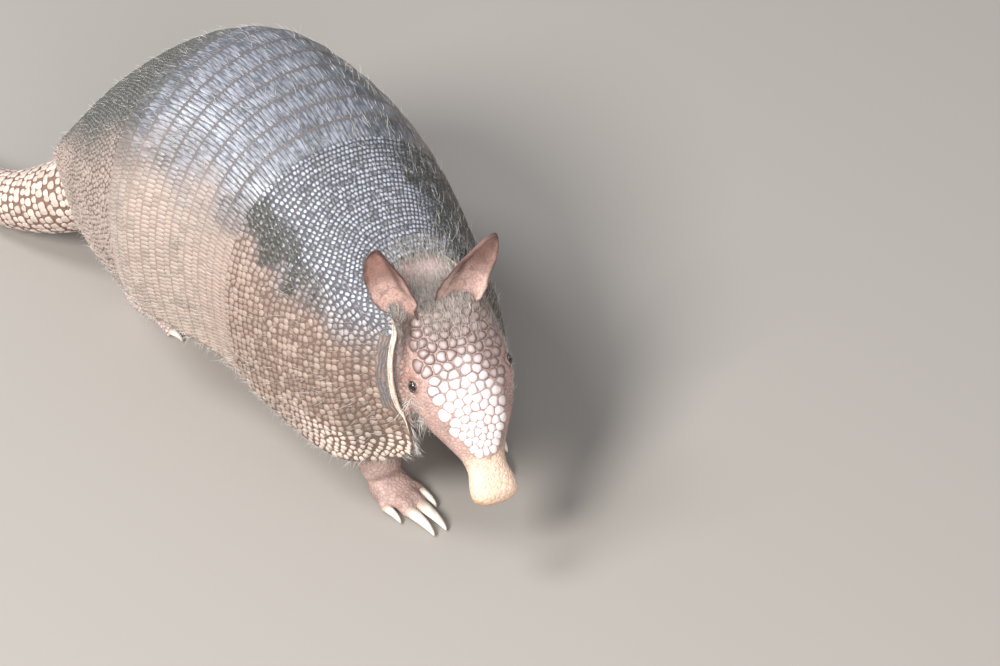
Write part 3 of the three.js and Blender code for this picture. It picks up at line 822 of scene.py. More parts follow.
def ground_paint():
    """The grooves between the scales, and the wrinkled fold behind the neck rim."""
    paint = Paint("plate_ground", roughness=0.65, coat=0.1)
    side = flank_share(paint)
    groove = paint.blend(side, SLATE_GROOVE, FLANK_GROOVE)
    banded = paint.blend(side, paint.blend(paint.mark("rump"), BAND_GROUND, RUMP), BAND_GROUND_FLANK)
    colour = paint.blend(paint.times(paint.mark("banded"), 0.8), groove, banded)
    colour = soiled_and_shaded(paint, colour)
    turns = paint.plus(paint.times(paint.mark("furrow"), 4.2), paint.times(paint.grain(150, 5), 22))
    wrinkles = paint.work_out("SINE", turns)
    patchy = paint.blend(paint.ramp(paint.grain(160, 5), 0.42, 0.6), FOLD_PINK, FOLD_GREY)
    patchy = paint.blend(paint.ramp(paint.grain(420, 5), 0.42, 0.6, 0, 0.6), patchy, FOLD_BROWN)
    # Painted shade: the wrinkles' troughs, which the relief sinks, are darkened.
    folds = paint.blend(paint.ramp(wrinkles, -1.2, 0.9, 0.25, 1.0), FOLD_CREASE_SHADE, patchy)
    colour = paint.blend(paint.mark("fold"), colour, folds)
    colour = paint.blend(paint.ramp(paint.grain(400, 4), 0.4, 0.7, 0, 0.4), colour, GROUND_DUST)
    colour = paint.blend(paint.mark("edge"), colour, paint.blend(side, BAND_EDGE, BAND_EDGE_FLANK))
    relief = paint.plus(paint.grain(1500, 4), paint.times(wrinkles, paint.mark("fold")))
    return paint.finish(colour, None, relief, 0.0006)


def head_scale_paint():
    """The crown's pale plates, stained towards the back of the head, with painted shade towards the shield's
    edges and on the head's left side.
    """
    paint = Paint("head_scales", coat=0.2, coat_roughness=0.3)
    tone, rise, back = paint.mark("tone"), paint.mark("rise"), paint.mark("back")
    # The back mark carries the real stain and also painted shade towards the shield's edges and on the left
    # side.
    stain_and_shade = paint.ramp(paint.plus(back, paint.times(paint.grain(70, 4), 0.5)), 0.42, 1.2)
    scale = paint.blend(paint.ramp(tone, 0, 1, 0, 0.35), HEAD_SCALE, HEAD_SCALE_PINK)
    scale = paint.blend(stain_and_shade, scale, HEAD_STAIN_AND_SHADE)
    specks = paint.grain(650, 5)
    scale = paint.blend(paint.ramp(specks, 0.46, 0.68, 0, 0.45), scale, HEAD_SPECK)
    groove = paint.blend(paint.ramp(stain_and_shade, 0, 0.45), HEAD_GROOVE, HEAD_GROOVE_DARK)
    crowned = paint.minus(rise, paint.times(stain_and_shade, 0.9))
    colour = paint.blend(paint.ramp(crowned, -0.4, 0.5), groove, scale)
    return paint.finish(colour, paint.ramp(specks, 0.3, 0.7, 0.38, 0.55), specks, 0.00018, 0.6)


def tail_scale_paint(name, scale_colour, groove_colour):
    """Worn scales of one colour, darker in the grooves."""
    paint = Paint(name, coat=0.15, coat_roughness=0.35)
    tone, rise = paint.mark("tone"), paint.mark("rise")
    specks = paint.grain(700, 4)
    scale = paint.blend(paint.ramp(tone, 0, 1, 0, 0.6), scale_colour, tuple(0.62 * c for c in scale_colour))
    scale = paint.blend(paint.ramp(specks, 0.48, 0.75, 0, 0.4), scale, groove_colour)
    colour = paint.blend(paint.ramp(rise, 0.05, 0.8), groove_colour, scale)
    return paint.finish(colour, paint.ramp(specks, 0.3, 0.7, 0.45, 0.62), specks, 0.00015, 0.5)


def skin_paint():
    """Pink and grey leathery skin, with the colours that skin_marks() places."""
    paint = Paint("skin", coat=0.05)
    blotch = paint.grain(90, 5)
    creases = paint.pebbles(420, "DISTANCE_TO_EDGE")
    colour = paint.blend(paint.ramp(blotch, 0.38, 0.66), SKIN_PINK, SKIN_GREY)
    colour = paint.blend(paint.mark("belly"), colour, BELLY)
    mottle = paint.ramp(paint.grain(620, 5), 0.42, 0.66, 0, 0.55)
    pores = paint.ramp(paint.pebbles(1300), 0.12, 0.3, 0.75, 0.0)
    nose = paint.blend(paint.plus(mottle, paint.times(pores, 0.5)), NOSE_PEACH, NOSE_MOTTLE)
    colour = paint.blend(paint.mark("snout"), colour, nose)
    warm = paint.times(paint.mark("nose"), paint.ramp(paint.grain(300, 4), 0.35, 0.7, 0.35, 1.0))
    colour = paint.blend(warm, colour, NOSE_WARM)
    colour = paint.blend(paint.times(paint.mark("rufous"), 0.75), colour, CHEEK_RUFOUS)
    colour = paint.blend(paint.mark("shield"), colour, HEAD_GROOVE)
    patch = paint.times(paint.mark("nape"), paint.ramp(paint.grain(45, 4), 0.42, 0.6, 0.25, 1.0))
    colour = paint.blend(patch, colour, NAPE_PATCH)
    colour = paint.blend(paint.mark("collar"), colour, paint.blend(mottle, NECK_DARK, NECK_PALE))
    # Painted shadow from the dark mark: the mouth slit, nostril pits, eyelid creases and under the jaw, and
    # the lid margin round each eye.
    colour = paint.blend(paint.mark("dark"), colour, PAINTED_SHADOW_BLACK)
    crease = paint.ramp(creases, 0.0, 0.12, 0.55, 1.0)
    shade = paint.blend(paint.larger(crease, paint.mark("snout")), CREASE_SHADE, WHITE)
    colour = paint.blend(1.0, colour, shade, "MULTIPLY")
    relief = paint.plus(paint.ramp(creases, 0.0, 0.25), paint.times(paint.grain(1400, 4), 0.5))
    paint.shader.inputs["Subsurface Weight"].default_value = 0.06
    paint.shader.inputs["Subsurface Scale"].default_value = 0.003
    return paint.finish(colour, paint.ramp(blotch, 0.3, 0.7, 0.5, 0.68), relief, 0.00035, 0.55)


def ear_paint():
    """Brown pebbled skin, paler in the hollow, with nearly black painted shade along the rim and in a fold
    near the inner edge.
    """
    paint = Paint("ear_skin", coat=0.06)
    grains = paint.pebbles(1100)
    blotch = paint.grain(110, 5)
    colour = paint.blend(paint.ramp(blotch, 0.35, 0.7), EAR_BROWN, EAR_BLOTCH)
    colour = paint.blend(paint.mark("inner"), colour, EAR_PALE)
    colour = paint.blend(paint.ramp(paint.grain(240, 5), 0.5, 0.66, 0, 0.45), colour, EAR_STAIN)
    colour = paint.blend(paint.ramp(grains, 0.3, 0.75, 0, 0.35), colour, EAR_GRAIN)
    # Painted shade: a nearly black outline along the rim, and a dark fold near the inner edge.
    colour = paint.blend(paint.times(paint.mark("rim"), 0.9), colour, EAR_RIM_SHADE)
    relief = paint.minus(1.0, grains)
    return paint.finish(colour, paint.ramp(blotch, 0.3, 0.7, 0.5, 0.62), relief, 0.0004, 0.6)


def horn_paint():
    """The claws: ivory towards the point, with long streaks."""
    paint = Paint("claw_horn", coat=0.25, coat_roughness=0.25)
    streaks = paint.grain(500, 4, stretch=(1.0, 0.12, 1.0))
    colour = paint.blend(paint.ramp(paint.mark("reach"), 0.0, 0.35), CLAW_BASE, CLAW_IVORY)
    colour = paint.blend(paint.ramp(streaks, 0.45, 0.7, 0, 0.5), colour, CLAW_STREAK)
    return paint.finish(colour, paint.ramp(streaks, 0.3, 0.7, 0.32, 0.5), streaks, 0.00015, 0.5)


def eye_paint():
    paint = Paint("eye", roughness=0.16, coat=0.5, coat_roughness=0.12)
    return paint.finish(paint.blend(paint.grain(300, 2), EYE_BLACK, EYE_BROWN))


def hair_paint():
    """Hair from pale to dark brown, by the mark on each hair."""
    paint = Paint("hair", roughness=0.5)
    colour = paint.blend(paint.mark("tone"), HAIR_PALE, HAIR_DARK)
    glints = paint.ramp(paint.grain(2500, 2), 0.3, 0.7, 0, 0.2)
    return paint.finish(paint.blend(glints, colour, HAIR_GLINT))


def rim_paint():
    """The pale streaked skin along the shield's neck rim."""
    paint = Paint("rim_skin", coat=0.1)
    streaks = paint.grain(900, 4, stretch=(1.0, 1.0, 0.1))
    colour = paint.blend(paint.ramp(streaks, 0.4, 0.62, 0, 0.6), RIM_PALE, RIM_STREAK)
    return paint.finish(colour, paint.ramp(streaks, 0.3, 0.7, 0.45, 0.6), streaks, 0.0003, 0.6)


def floor_paint():
    paint = Paint("floor", roughness=0.85)
    return paint.finish((*FLOOR_GREY, 1))


SCALE_PAINT = armour_paint("shell_scales", SHIELD_FLANK, 0.6, 0.8, 0.0, 0.78)
BAND_PAINT = armour_paint("band_scales", BAND_FLANK, 0.2, 0.25, 0.4, 0.25)
GROUND_PAINT = ground_paint()
HEAD_PAINT = head_scale_paint()
TAIL_PAINT = tail_scale_paint("tail_scales", TAIL_SCALE, TAIL_GROOVE)
LEG_PAINT = tail_scale_paint("leg_scales", LEG_SCALE, LEG_GROOVE)
SKIN_PAINT = skin_paint()
EAR_PAINT = ear_paint()
HORN_PAINT = horn_paint()
EYE_PAINT = eye_paint()
HAIR_PAINT = hair_paint()
RIM_PAINT = rim_paint()
CHEEK_PAINT = tail_scale_paint("cheek_scales", CHEEK_SCALE, CHEEK_GROOVE)
NAPE_PAINT = tail_scale_paint("nape_scales", NAPE_SCALE, NAPE_GROOVE)


# ---------------------------------------------------------------- the shell
GROUND_DEPTH = 1.0  # how far the grooves lie below the solid's surface
PLATE_WALL = 2.2
PLATE_COLUMNS = 130
PLATE_EDGE = 0.5  # radius of the rounding, where two faces meet at more than a radian
SHIELD_COLUMNS = 100
SHIELD_REACH = 0.985  # share of the way down each side that the scales cover
FOLD_WIDTH = 0.016  # of the bare wrinkled strip, as a share of the back
FOLD_RISE = 0.7


def shield_pitch(u):
    """Scales are finer over the ridge than down the flanks."""
    return mix(2.3, 3.6, rise_between(0.15, 0.6, np.abs(u)))


def lengths_along(points, pitch=1.0):
    """How far each point lies along the line through them, in pitches."""
    steps = np.linalg.norm(np.diff(points, axis=0), axis=1) / pitch
    return np.concatenate([[0], np.cumsum(steps)])


def even_row(surface, line, count, offset, low, high, pitch):
    """Places along the row p = line(q), with gaps in proportion to pitch(q)."""
    q = np.linspace(low, high, 300)
    passed = lengths_along(surface.point(line(q), q), pitch((q[1:] + q[:-1]) / 2))
    return np.interp((np.arange(count) + offset) / count * passed[-1], passed, q)


def bake_spots(surface, p, q, span_p, span_q):
    """A function that lays each scale's footprint on the bake map by its place on the surface."""

    def spots(ahead, aside):
        pp, qq = surface.shifted(p[:, None], q[:, None], ahead * 0.97, aside * 0.97)
        flat = [(value - low) / (high - low) for value, (low, high) in ((qq, span_q), (pp, span_p))]
        return np.clip(inset(np.stack(flat, axis=-1)), 0, 1)

    return spots


def pale_share(t, u):
    """Paler scales: the lowest rows, most of all at the front corners."""
    corner = rise_between(0.83, 0.88, np.abs(u)) * (1 - rise_between(0.10, 0.26, t))
    edge = rise_between(0.86, 1.0, np.abs(u)) * 0.25
    return np.maximum(corner, edge)


def fold_share(t, u):
    """1 on the wrinkled strip behind the neck rim, which has no scales."""
    side = rise_between(0.3, 0.4, np.abs(u)) * (1 - rise_between(0.72, 0.8, np.abs(u)))
    return (1 - rise_between(FOLD_WIDTH, FOLD_WIDTH + 0.01, t - neck_rim(u))) * side


def soil_and_shade_share(t, u):
    """Where the shell is darkened: by soil behind the right shoulder, and by painted shade over the left
    side, away from the light.
    """
    behind = t - 0.28
    shoulder = 1 - rise_between(0.2, 1.35, np.hypot(behind / 0.15, (u + 0.385 - 0.3 * behind) / 0.13))
    # Painted shade over the left side, away from the light, fainter over the bands.
    painted_shade_left = 0.9 * rise_between(0.1, 0.35, u) * (1 - 0.42 * rise_between(0.3, 0.42, t))
    return np.maximum(shoulder, painted_shade_left)


def meeting_share(t):
    """1 where the shoulder shield meets the bands, 0 a few rows away from there."""
    return rise_between(0.23, 0.35, t) * (1 - rise_between(0.36, 0.5, t))


def ground_marks(t, u):
    """What the colours of both the scales and the grooves depend on."""
    return {"flank": np.abs(u), "rump": rise_between(0.66, 0.77, t), "soil_and_shade": soil_and_shade_share(t, u)}


def scale_marks(t, u):
    """What the scales' colours depend on."""
    return {**ground_marks(t, u), "pale": pale_share(t, u), "meeting": meeting_share(t)}


def level(value):
    """An edge or a pitch that is the same all round the body."""
    return lambda u: value + 0 * u


def shield(name, front, rear, rows, node):
    """One of the two shields: rows of scales that run parallel to its edges."""
    p, q = [], []
    for row in range(rows):
        share = (row + 0.5) / rows

        def line(u):
            bare = FOLD_WIDTH * fold_share(front(u), u) * (front is neck_rim)
            return mix(front(u) + bare, rear(u), share)

        offset = 0.25 + 0.5 * (row % 2)
        places = even_row(SHELL, line, SHIELD_COLUMNS, offset, -SHIELD_REACH, SHIELD_REACH, shield_pitch)
        q.append(places)
        p.append(line(places))
    p, q = np.concatenate(p), np.concatenate(q)
    pitch = shield_pitch(q)
    stray = pitch * mix(0.08, 0.15, rise_between(0.2, 0.5, np.abs(q)))
    p, q = SHELL.shifted(p, q, dice.normal(0, 1, p.shape) * stray, dice.normal(0, 1, p.shape) * stray)
    seeds = Seeds.on_surface(SHELL, p, q)
    pale = pale_share(p, q)
    tone = dice.random(p.shape)
    large = tone > 0.74  # the cream ones among the brown
    outlines = seeds.cells(SCALE_SIDES, pitch * 0.72, 0.03 + 0.22 * pale[:, None])
    outlines *= (0.95 + 0.17 * large)[:, None]
    height = mix(0.36, 0.5, rise_between(0.2, 0.6, np.abs(q))) * dice.normal(1, 0.12, p.shape)
    height = height + 0.3 * pale + 0.15 * large
    marks = {"tone": tone, **scale_marks(p, q)}
    spots = bake_spots(SHELL, p, q, (p.min() - 0.02, p.max() + 0.02), (-1.03, 1.03))
    mesh = mounds(name + "_scales", seeds, outlines, ROUND_SCALE, height, -GROUND_DEPTH, marks, spots)
    piece(name + "_scales", mesh, SCALE_PAINT)
    ground_plate(name, front, rear, level(-GROUND_DEPTH), 40, node)


def ground_plate(name, front, rear, lift, rows, node, slot="shell_shield"):
    """The plate under the scales, with a rounded edge all round."""
    is_band = slot == "shell_band"

    def place(share, across):
        u = across * 2 - 1
        t = mix(front(u), rear(u), share)
        return SHELL.lifted(t, u, lift(share) + FOLD_RISE * fold_share(t, u) * (front is neck_rim))

    bm = grid_sheet(place, rows, PLATE_COLUMNS)
    body_middle = Vector(settle(SHELL.point(np.array([0.5]), np.array([0.0])) - [0, 0, 80])[0])
    bmesh.ops.recalc_face_normals(bm, faces=bm.faces)
    middle_face = bm.faces[:][len(bm.faces) // 2]
    if middle_face.normal.dot(middle_face.calc_center_median() - body_middle) < 0:
        bmesh.ops.reverse_faces(bm, faces=bm.faces)
    bmesh.ops.solidify(bm, geom=bm.faces[:], thickness=PLATE_WALL * MM)
    edges = [edge for edge in bm.edges if len(edge.link_faces) == 2 and edge.calc_face_angle(0) > 1.0]
    bmesh.ops.bevel(
        bm,
        geom=edges,
        offset=PLATE_EDGE * MM,
        segments=2,
        profile=0.5,
        affect="EDGES",
        material=-1,
    )
    mesh = mesh_of(bm, name)
    points = vertex_points(mesh)
    t, u = shell_coordinates(points)
    across = (t - front(u)) / (rear(u) - front(u))
    marks = {
        **ground_marks(t, u),
        "edge": rise_between(0.955, 0.99, across) * is_band,
        "fold": fold_share(t, u) * (front is neck_rim),
        "banded": np.full(len(t), float(is_band)),
        "furrow": (t - neck_rim(u)) * SHELL_LENGTH,
    }
    set_marks(mesh, marks)
    piece(name, mesh, GROUND_PAINT, [node])


def tree_of(points):
    tree = kdtree.KDTree(len(points))
    for i, where in enumerate(points):
        tree.insert(where, i)
    tree.balance()
    return tree


def nearest(tree, points):
    """The index of the tree's point that is nearest to each of these."""
    return np.array([tree.find(point)[1] for point in points])


SHELL_GRID = [axis.ravel() for axis in np.meshgrid(np.linspace(-0.04, 1.02, 160), np.linspace(-1, 1, 141))]
SHELL_TREE = tree_of(shell_point(*SHELL_GRID))


def shell_coordinates(points):
    """The share of the back and the share round the body of points near the shell."""
    found = nearest(SHELL_TREE, points)
    t, u = SHELL_GRID[0][found], SHELL_GRID[1][found]
    ahead, aside, _ = SHELL.axes(t, u)
    offset = points - SHELL.point(t, u)
    t, u = SHELL.shifted(t, u, np.sum(offset * ahead, axis=1), np.sum(offset * aside, axis=1))
    return np.clip(t, -0.06, 1.04), np.clip(u, -1.02, 1.02)


WEDGES = 132  # scales round each band
WEDGE_SIDES = 12
WEDGE_MOULD = [[1.0, -0.5], [0.92, 0.3], [0.6, 0.9], [0.0, 1.0]]
BAND_DROP = 1.2  # how far each band's front edge dips under the band before it
BAND_OVERHANG = 0.0028  # share of the back that each band reaches over the next
BAND_OVERHANG_FIRST = 0.003  # and the shoulder shield over the first


def band_lift(share):
    """Height of a band's ground from its front edge to its rear one."""
    return -GROUND_DEPTH - BAND_DROP + BAND_DROP * 1.25 * share


def band(n):
    """A band: long narrow scales over the back, every other one turned round, and two rows of short
    ones down the flanks, over a plate that overlaps the next."""
    front = BANDS_START + n * BAND_PITCH
    line = even_row(SHELL, level(front + BAND_PITCH / 2), WEDGES, 0.5, -0.99, 0.99, level(1.0))
    flank = np.abs(line) > 0.40 + 0.05 * dice.random(WEDGES)
    top, side = line[~flank], line[flank]
    turn = np.where(np.arange(len(top)) % 2 == 0, 0.5, -0.5)
    half = np.gradient(line)[flank] / 2
    q = np.concatenate([top, side, side + half])
    counts = [len(top), len(side), len(side)]
    middle = np.repeat([0.5, 0.26, 0.71], counts)
    part = np.repeat([0.94, 0.47, 0.50], counts)
    taper = np.concatenate([turn, np.zeros(2 * len(side))])
    middle = middle + dice.normal(0, 0.015, len(q))
    p = front + middle * BAND_PITCH
    along, around = SHELL.slopes(p, q)
    length = np.linalg.norm(along, axis=1) * BAND_PITCH * part
    pitch = np.interp(q, line, np.gradient(line)) * np.linalg.norm(around, axis=1)
    spoke, share, rise, faces = mound_mould(WEDGE_SIDES, WEDGE_MOULD)
    angle = spoke * 2 * math.pi / WEDGE_SIDES
    forth = signed_power(np.cos(angle), 0.6)
    aside = signed_power(np.sin(angle), 0.75)
    ahead = length[:, None] / 2 * forth * mix(1, share, 0.35) * np.where(share == 0, 0, 1)
    width = pitch[:, None] / 2 * (1 - taper[:, None] * forth) * aside * share * 0.97
    pp, qq = SHELL.shifted(p[:, None], q[:, None], ahead, width)
    across = (pp - front) / BAND_PITCH
    height = (0.07 + 0.24 * (part < 0.9)) * dice.normal(1, 0.15, len(q))
    points = SHELL.lifted(pp, qq, band_lift(across) + height[:, None] * rise)
    marks = {"tone": dice.random(len(q)), **scale_marks(p, q)}
    marks = {label: np.repeat(values, len(spoke)) for label, values in marks.items()}
    marks["rise"] = np.tile(rise, len(q))
    marks["edge"] = rise_between(0.95, 1.0, across).ravel()
    spots = np.stack([inset((qq + 1) / 2), (n + 0.1 + 0.8 * np.clip(across, 0, 1)) / BAND_COUNT], axis=-1)
    return points, faces, marks, spots


def bands():
    """The nine bands' scales as one piece, and the nine plates under them."""
    made = [band(n) for n in range(BAND_COUNT)]
    points = np.concatenate([row[0] for row in made])
    marks = {label: np.concatenate([row[2][label] for row in made]) for label in made[0][2]}
    spots = np.concatenate([row[3] for row in made])
    mesh = joined_copies("band_scales", points, made[0][1], marks, spots)
    piece("band_scales", mesh, BAND_PAINT)
    for n in range(BAND_COUNT):
        number = str(n + 1)
        front = BANDS_START + n * BAND_PITCH
        edges = level(front), level(front + BAND_PITCH + BAND_OVERHANG)
        ground_plate("band_ground_" + number, *edges, band_lift, 6, "band_" + number, "shell_band")


shield("scapular_plate", neck_rim, level(BANDS_START + BAND_OVERHANG_FIRST), 27, "scapular_shield")
bands()
shield("pelvic_plate", level(BANDS_END), level(1.0), 28, "pelvic_shield")


# ---------------------------------------------------------------- the skin
NECK_ROWS = [
    [5, -92, 86, 40, 42],
    [7, -104, 92, 38, 40],
    [9, -114, 99, 33, 35],
    [*head_place(103, 0, -5), 26, 25],
    [*head_place(89, 0, -4), 20, 17],
]
# Shares of a foot's reach, width and height from the heel to the toes.
PAD_ROWS = [[0, 0.62, 0.8], [0.2, 0.92, 1.15], [0.55, 1.0, 1.0], [0.9, 0.92, 0.72]]
VOXEL = 1.5  # of the skin's remesh
SMOOTHING = 7
HIDDEN_THINNING = 0.8  # share of the skin's vertices under the shell that are taken away
COLLAR_TURN = 1.28  # how far round each side the neck skin is counted; past 1 is under the chest
NAPE_SPOT = (0.09, 0.1)  # share of the back and share round the body of the bare patch on the nape


def tube_place(rows, side, power=2.0):
    """Rows of [x, y, z, half-width, half-height] joined along a smooth curve, as place(p, q)."""
    table = [[i / (len(rows) - 1), *row] for i, row in enumerate(rows)]
    side = np.array(side, float)

    def centre(share):
        return stack(*(sample(table, share, column) for column in (1, 2, 3)))

    def place(p, q):
        along = unit(centre(p + 0.02) - centre(p - 0.02))
        across = unit(side - along * (along @ side)[..., None])
        wide = sample(table, p, 4) * signed_power(np.cos(q * 2 * math.pi), 2 / power)
        tall = sample(table, p, 5) * signed_power(np.sin(q * 2 * math.pi), 2 / power)
        return centre(p) + across * wide[..., None] + np.cross(across, along) * tall[..., None]

    return place


def beside_spine(t, lateral, height):
    """A place this far to the left of the spine."""
    x, y, heading = spine(t)
    return [float(x + lateral * math.cos(heading)), float(y + lateral * math.sin(heading)), height]


class Foot:
    """A foot's own frame: inward is towards the midline, forward towards the toes."""

    def __init__(self, name):
        share, lateral, turn = FEET[name]
        self.kind = name[:4]
        self.side = SIDES[name.split("_")[1]]
        self.middle = np.array(beside_spine(share, self.side * lateral, 0))
        self.turn = turn
        self.across = self.direction(-1, 0)
        self.along = self.direction(0, 1)

    def direction(self, inward, forward):
        x, y = -self.side * inward, -forward
        cos, sin = math.cos(self.turn), math.sin(self.turn)
        return np.array([x * cos - y * sin, x * sin + y * cos, 0])

    def place(self, inward, forward, up):
        flat = self.middle - self.across * inward + self.along * forward
        return flat + [0, 0, up]


def foot_parts(foot):
    """The pad, and each toe with its rounded tip."""
    heel, width, height = PADS[foot.kind]
    digits = DIGITS[foot.kind]
    reach = min(digit[1] for digit in digits)
    rows = [
        [*foot.place(0, mix(-heel, reach, share), height * tall * 0.42), width * wide, height * tall * 0.62]
        for share, wide, tall in PAD_ROWS
    ]
    parts = [closed_tube(tube_place(rows, foot.across, 2.3), 24, 40)]
    for inward, forward, _, radius in digits:
        start = foot.place(inward * 0.7, reach * 0.4, height * 0.36)
        end = foot.place(inward, forward - 1.0, radius + TOE_WALL)
        knuckle = (start + end) / 2 + [0, 0, 1.2]
        size = radius + TOE_WALL
        rows = [[*start, size + 0.6, size + 0.6], [*knuckle, size, size + 0.3], [*end, size, size]]
        parts.append(closed_tube(tube_place(rows, foot.across), 14, 20))
        tip = [[*end, size, size], [*(end + foot.along * 1.6), size * 0.8, size * 0.8]]
        parts.append(closed_tube(tube_place(tip, foot.across), 4, 20))
    return parts


def head_skin(p, q):
    """The head from the nose's rounded front to inside the neck."""
    dome = np.clip(p / 0.04, 0, 1)
    back = np.clip((p - 0.04) / 0.96, 0, 1) * HEAD_LENGTH
    points = head_point(back, q * 2 * math.pi)
    middle = head_place(np.full(p.shape, 0.0), 0.0, 0.0)
    shrink = np.sqrt(np.clip(1 - (1 - dome) ** 2, 0.0004, 1))[..., None]
    front = middle + (points - middle) * shrink + HEAD_FORWARD * (1.6 * (1 - dome))[..., None]
    return np.where((p < 0.04)[..., None], front, points)


def applied(mesh, *modifiers, group=None):
    """The mesh after these modifiers, each [kind, settings]."""
    made = new_object("work", mesh)
    if group is not None:
        made.vertex_groups.new(name="chosen").add(group.tolist(), 1.0, "REPLACE")
    for kind, settings in modifiers:
        modifier = made.modifiers.new(kind, kind)
        for label, value in settings.items():
            setattr(modifier, label, value)
    done = bpy.data.meshes.new_from_object(made.evaluated_get(bpy.context.evaluated_depsgraph_get()))
    bpy.data.objects.remove(made)
    return done


def refine(mesh, chosen):
    """Splits each face whose corners are all chosen into four."""
    bm = bmesh.new()
    bm.from_mesh(mesh)
    bm.verts.ensure_lookup_table()
    flags = chosen.tolist()
    edges = [edge for edge in bm.edges if flags[edge.verts[0].index] and flags[edge.verts[1].index]]
    bmesh.ops.subdivide_edges(bm, edges=edges, cuts=1, use_grid_fill=True, smooth=0.5)
    bm.to_mesh(mesh)
    bm.free()
    mesh.update()


def below_shell(points):
    """The shell's t, u and outward direction over each point, and the point's depth under it."""
    t, u = shell_coordinates(points)
    outward = SHELL.axes(t, u)[2]
    return t, u, outward, np.sum((SHELL.point(t, u) - points) * outward, axis=1)


def under_shell(points):
    """Which points lie deep enough under the shell to be out of sight."""
    t, u, _, depth = below_shell(points)
    return (depth > 4.5) & (t > neck_rim(u) + 0.035) & (t < 0.96) & (np.abs(u) < 0.93)


def tucked_in(points, least=3.4):
    """Flesh pressed in wherever it would stand out through the shell."""
    t, u, outward, depth = below_shell(points)
    inside = (t > neck_rim(u) + 0.05) & (t < 0.985)
    press = np.maximum(least - depth, 0) * inside * (1 - rise_between(0.975, 1.01, np.abs(u)))
    return points - outward * press[:, None]


def collar(p, q):
    """Neck skin: from inside the shell, out past its rim, on to the head, then shut inside it."""
    turn = (q * 2 - 1) * COLLAR_TURN
    around = np.abs(turn)
    u = np.clip(turn, -0.95, 0.95)
    side = rise_between(0.28, 0.5, np.abs(u - 0.05))
    low = rise_between(0.8, 1.0, around)
    passing = np.clip((p - 0.3) / 0.1, 0, 1)
    t = neck_rim(u) + mix(mix(0.10, 0.008, np.clip(p / 0.3, 0, 1)), -0.009, passing)
    t = mix(t, 0.09, low)
    sunk = mix(3.9, mix(1.3, 3.6, side), passing)
    ring = SHELL.lifted(t, u, -sunk)
    chest = (SHELL.lifted(t, 0.95 + 0 * t, -sunk) + SHELL.lifted(t, -0.95 + 0 * t, -sunk)) / 2 + [0, 0, 14]
    ring = mix(ring, chest, rise_between(0.95, COLLAR_TURN, around)[..., None])
    back = mix(mix(108, 73, side), 88, rise_between(0.7, 1.0, around))
    angle = np.sign(turn) * np.interp(around, [0, 0.3, 0.95, COLLAR_TURN], [0, 0.9, 2.3, math.pi])
    centre = head_place(back, 0.0, -2.0)
    seat = mix(centre, head_point(back, angle), 0.95)
    front = mix(ring, seat, rise_between(0.4, 0.85, p)[..., None])
    return mix(front, head_place(100.0, 0.0, -4.0), (0.9 * np.clip((p - 0.85) / 0.15, 0, 1))[..., None])


def rough_flesh():
    """Head, collar, neck, trunk, legs and feet as closed forms that run into each other."""
    parts = [closed_tube(head_skin, 150, 110), closed_tube(collar, 60, 140)]
    parts.append(closed_tube(tube_place(NECK_ROWS, HEAD_SIDE), 40, 60))
    bm = bmesh.new()
    bm.from_mesh(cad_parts["trunk"].data)
    bmesh.ops.remove_doubles(bm, verts=bm.verts, dist=2e-5)
    parts.append(mesh_of(bm, "flesh"))
    for name, stations in LEGS.items():
        side = SIDES[name.split("_")[1]]
        rows = [[*beside_spine(t, side * lateral, height), *size] for t, lateral, height, *size in stations]
        parts.append(closed_tube(tube_place(rows, (1, 0, 0)), 36, 36))
    for name in FEET:
        parts.extend(foot_parts(Foot(name)))
    bm = bmesh.new()
    for part in parts:
        bm.from_mesh(part)
    return mesh_of(bm, "flesh")


def soft(points, scale, seed):
    """Smooth noise between -1 and 1; scale is in features a millimetre."""
    return np.array([noise.noise(Vector(point * scale) + Vector((seed, 0, 0))) for point in points])


def shield_edge(back):
    """Angle from the crown to the edge of the head's scaly shield."""
    reach = sample(SHIELD_STATIONS, back, 1) / sample(HEAD_STATIONS, back, 1)
    inside = np.minimum(reach, 0.95) ** (HEAD_SQUARE / 2)
    ends = rise_between(20, 24, back) * (1 - rise_between(98, 103, back))
    return np.arcsin(inside) * np.maximum(ends, 0.001)


def head_section(points):
    """Back from the nose, and the shares of the head's half-width and height that lie there."""
    back, left, up = head_coordinates(points)
    station = np.clip(back, 0, HEAD_LENGTH)
    half_width, above, below = (sample(HEAD_STATIONS, station, column) for column in (1, 2, 3))
    return back, left / half_width, np.where(up > 0, up / above, up / below)


def head_swell(points):
    """1 on the head's plain surface, more outside it."""
    _, wide, tall = head_section(points)
    return (np.abs(wide) ** HEAD_SQUARE + np.abs(tall) ** HEAD_SQUARE) ** (1 / HEAD_SQUARE)


def head_angles(points):
    """Back from the nose and the angle from the crown, for points near the head."""
    back, wide, tall = head_section(points)
    return back, np.arctan2(signed_power(wide, HEAD_SQUARE / 2), signed_power(tall, HEAD_SQUARE / 2))


def on_head(points, length=112, half_width=32, low=-30, high=27):
    """Which points lie in this box round the head."""
    back, left, up = head_coordinates(points)
    return (back < length) & (np.abs(left) < half_width) & (up > low) & (up < high)


def eye_seat(side):
    """The middle of the finished eye on this side."""
    return head_place(EYE_SEAT[0], side * EYE_SEAT[1], EYE_SEAT[2])


def eye_gap(points):
    """Distance from the middle of the nearer eye."""
    return np.min([np.linalg.norm(points - eye_seat(side), axis=1) for side in SIDES.values()], axis=0)


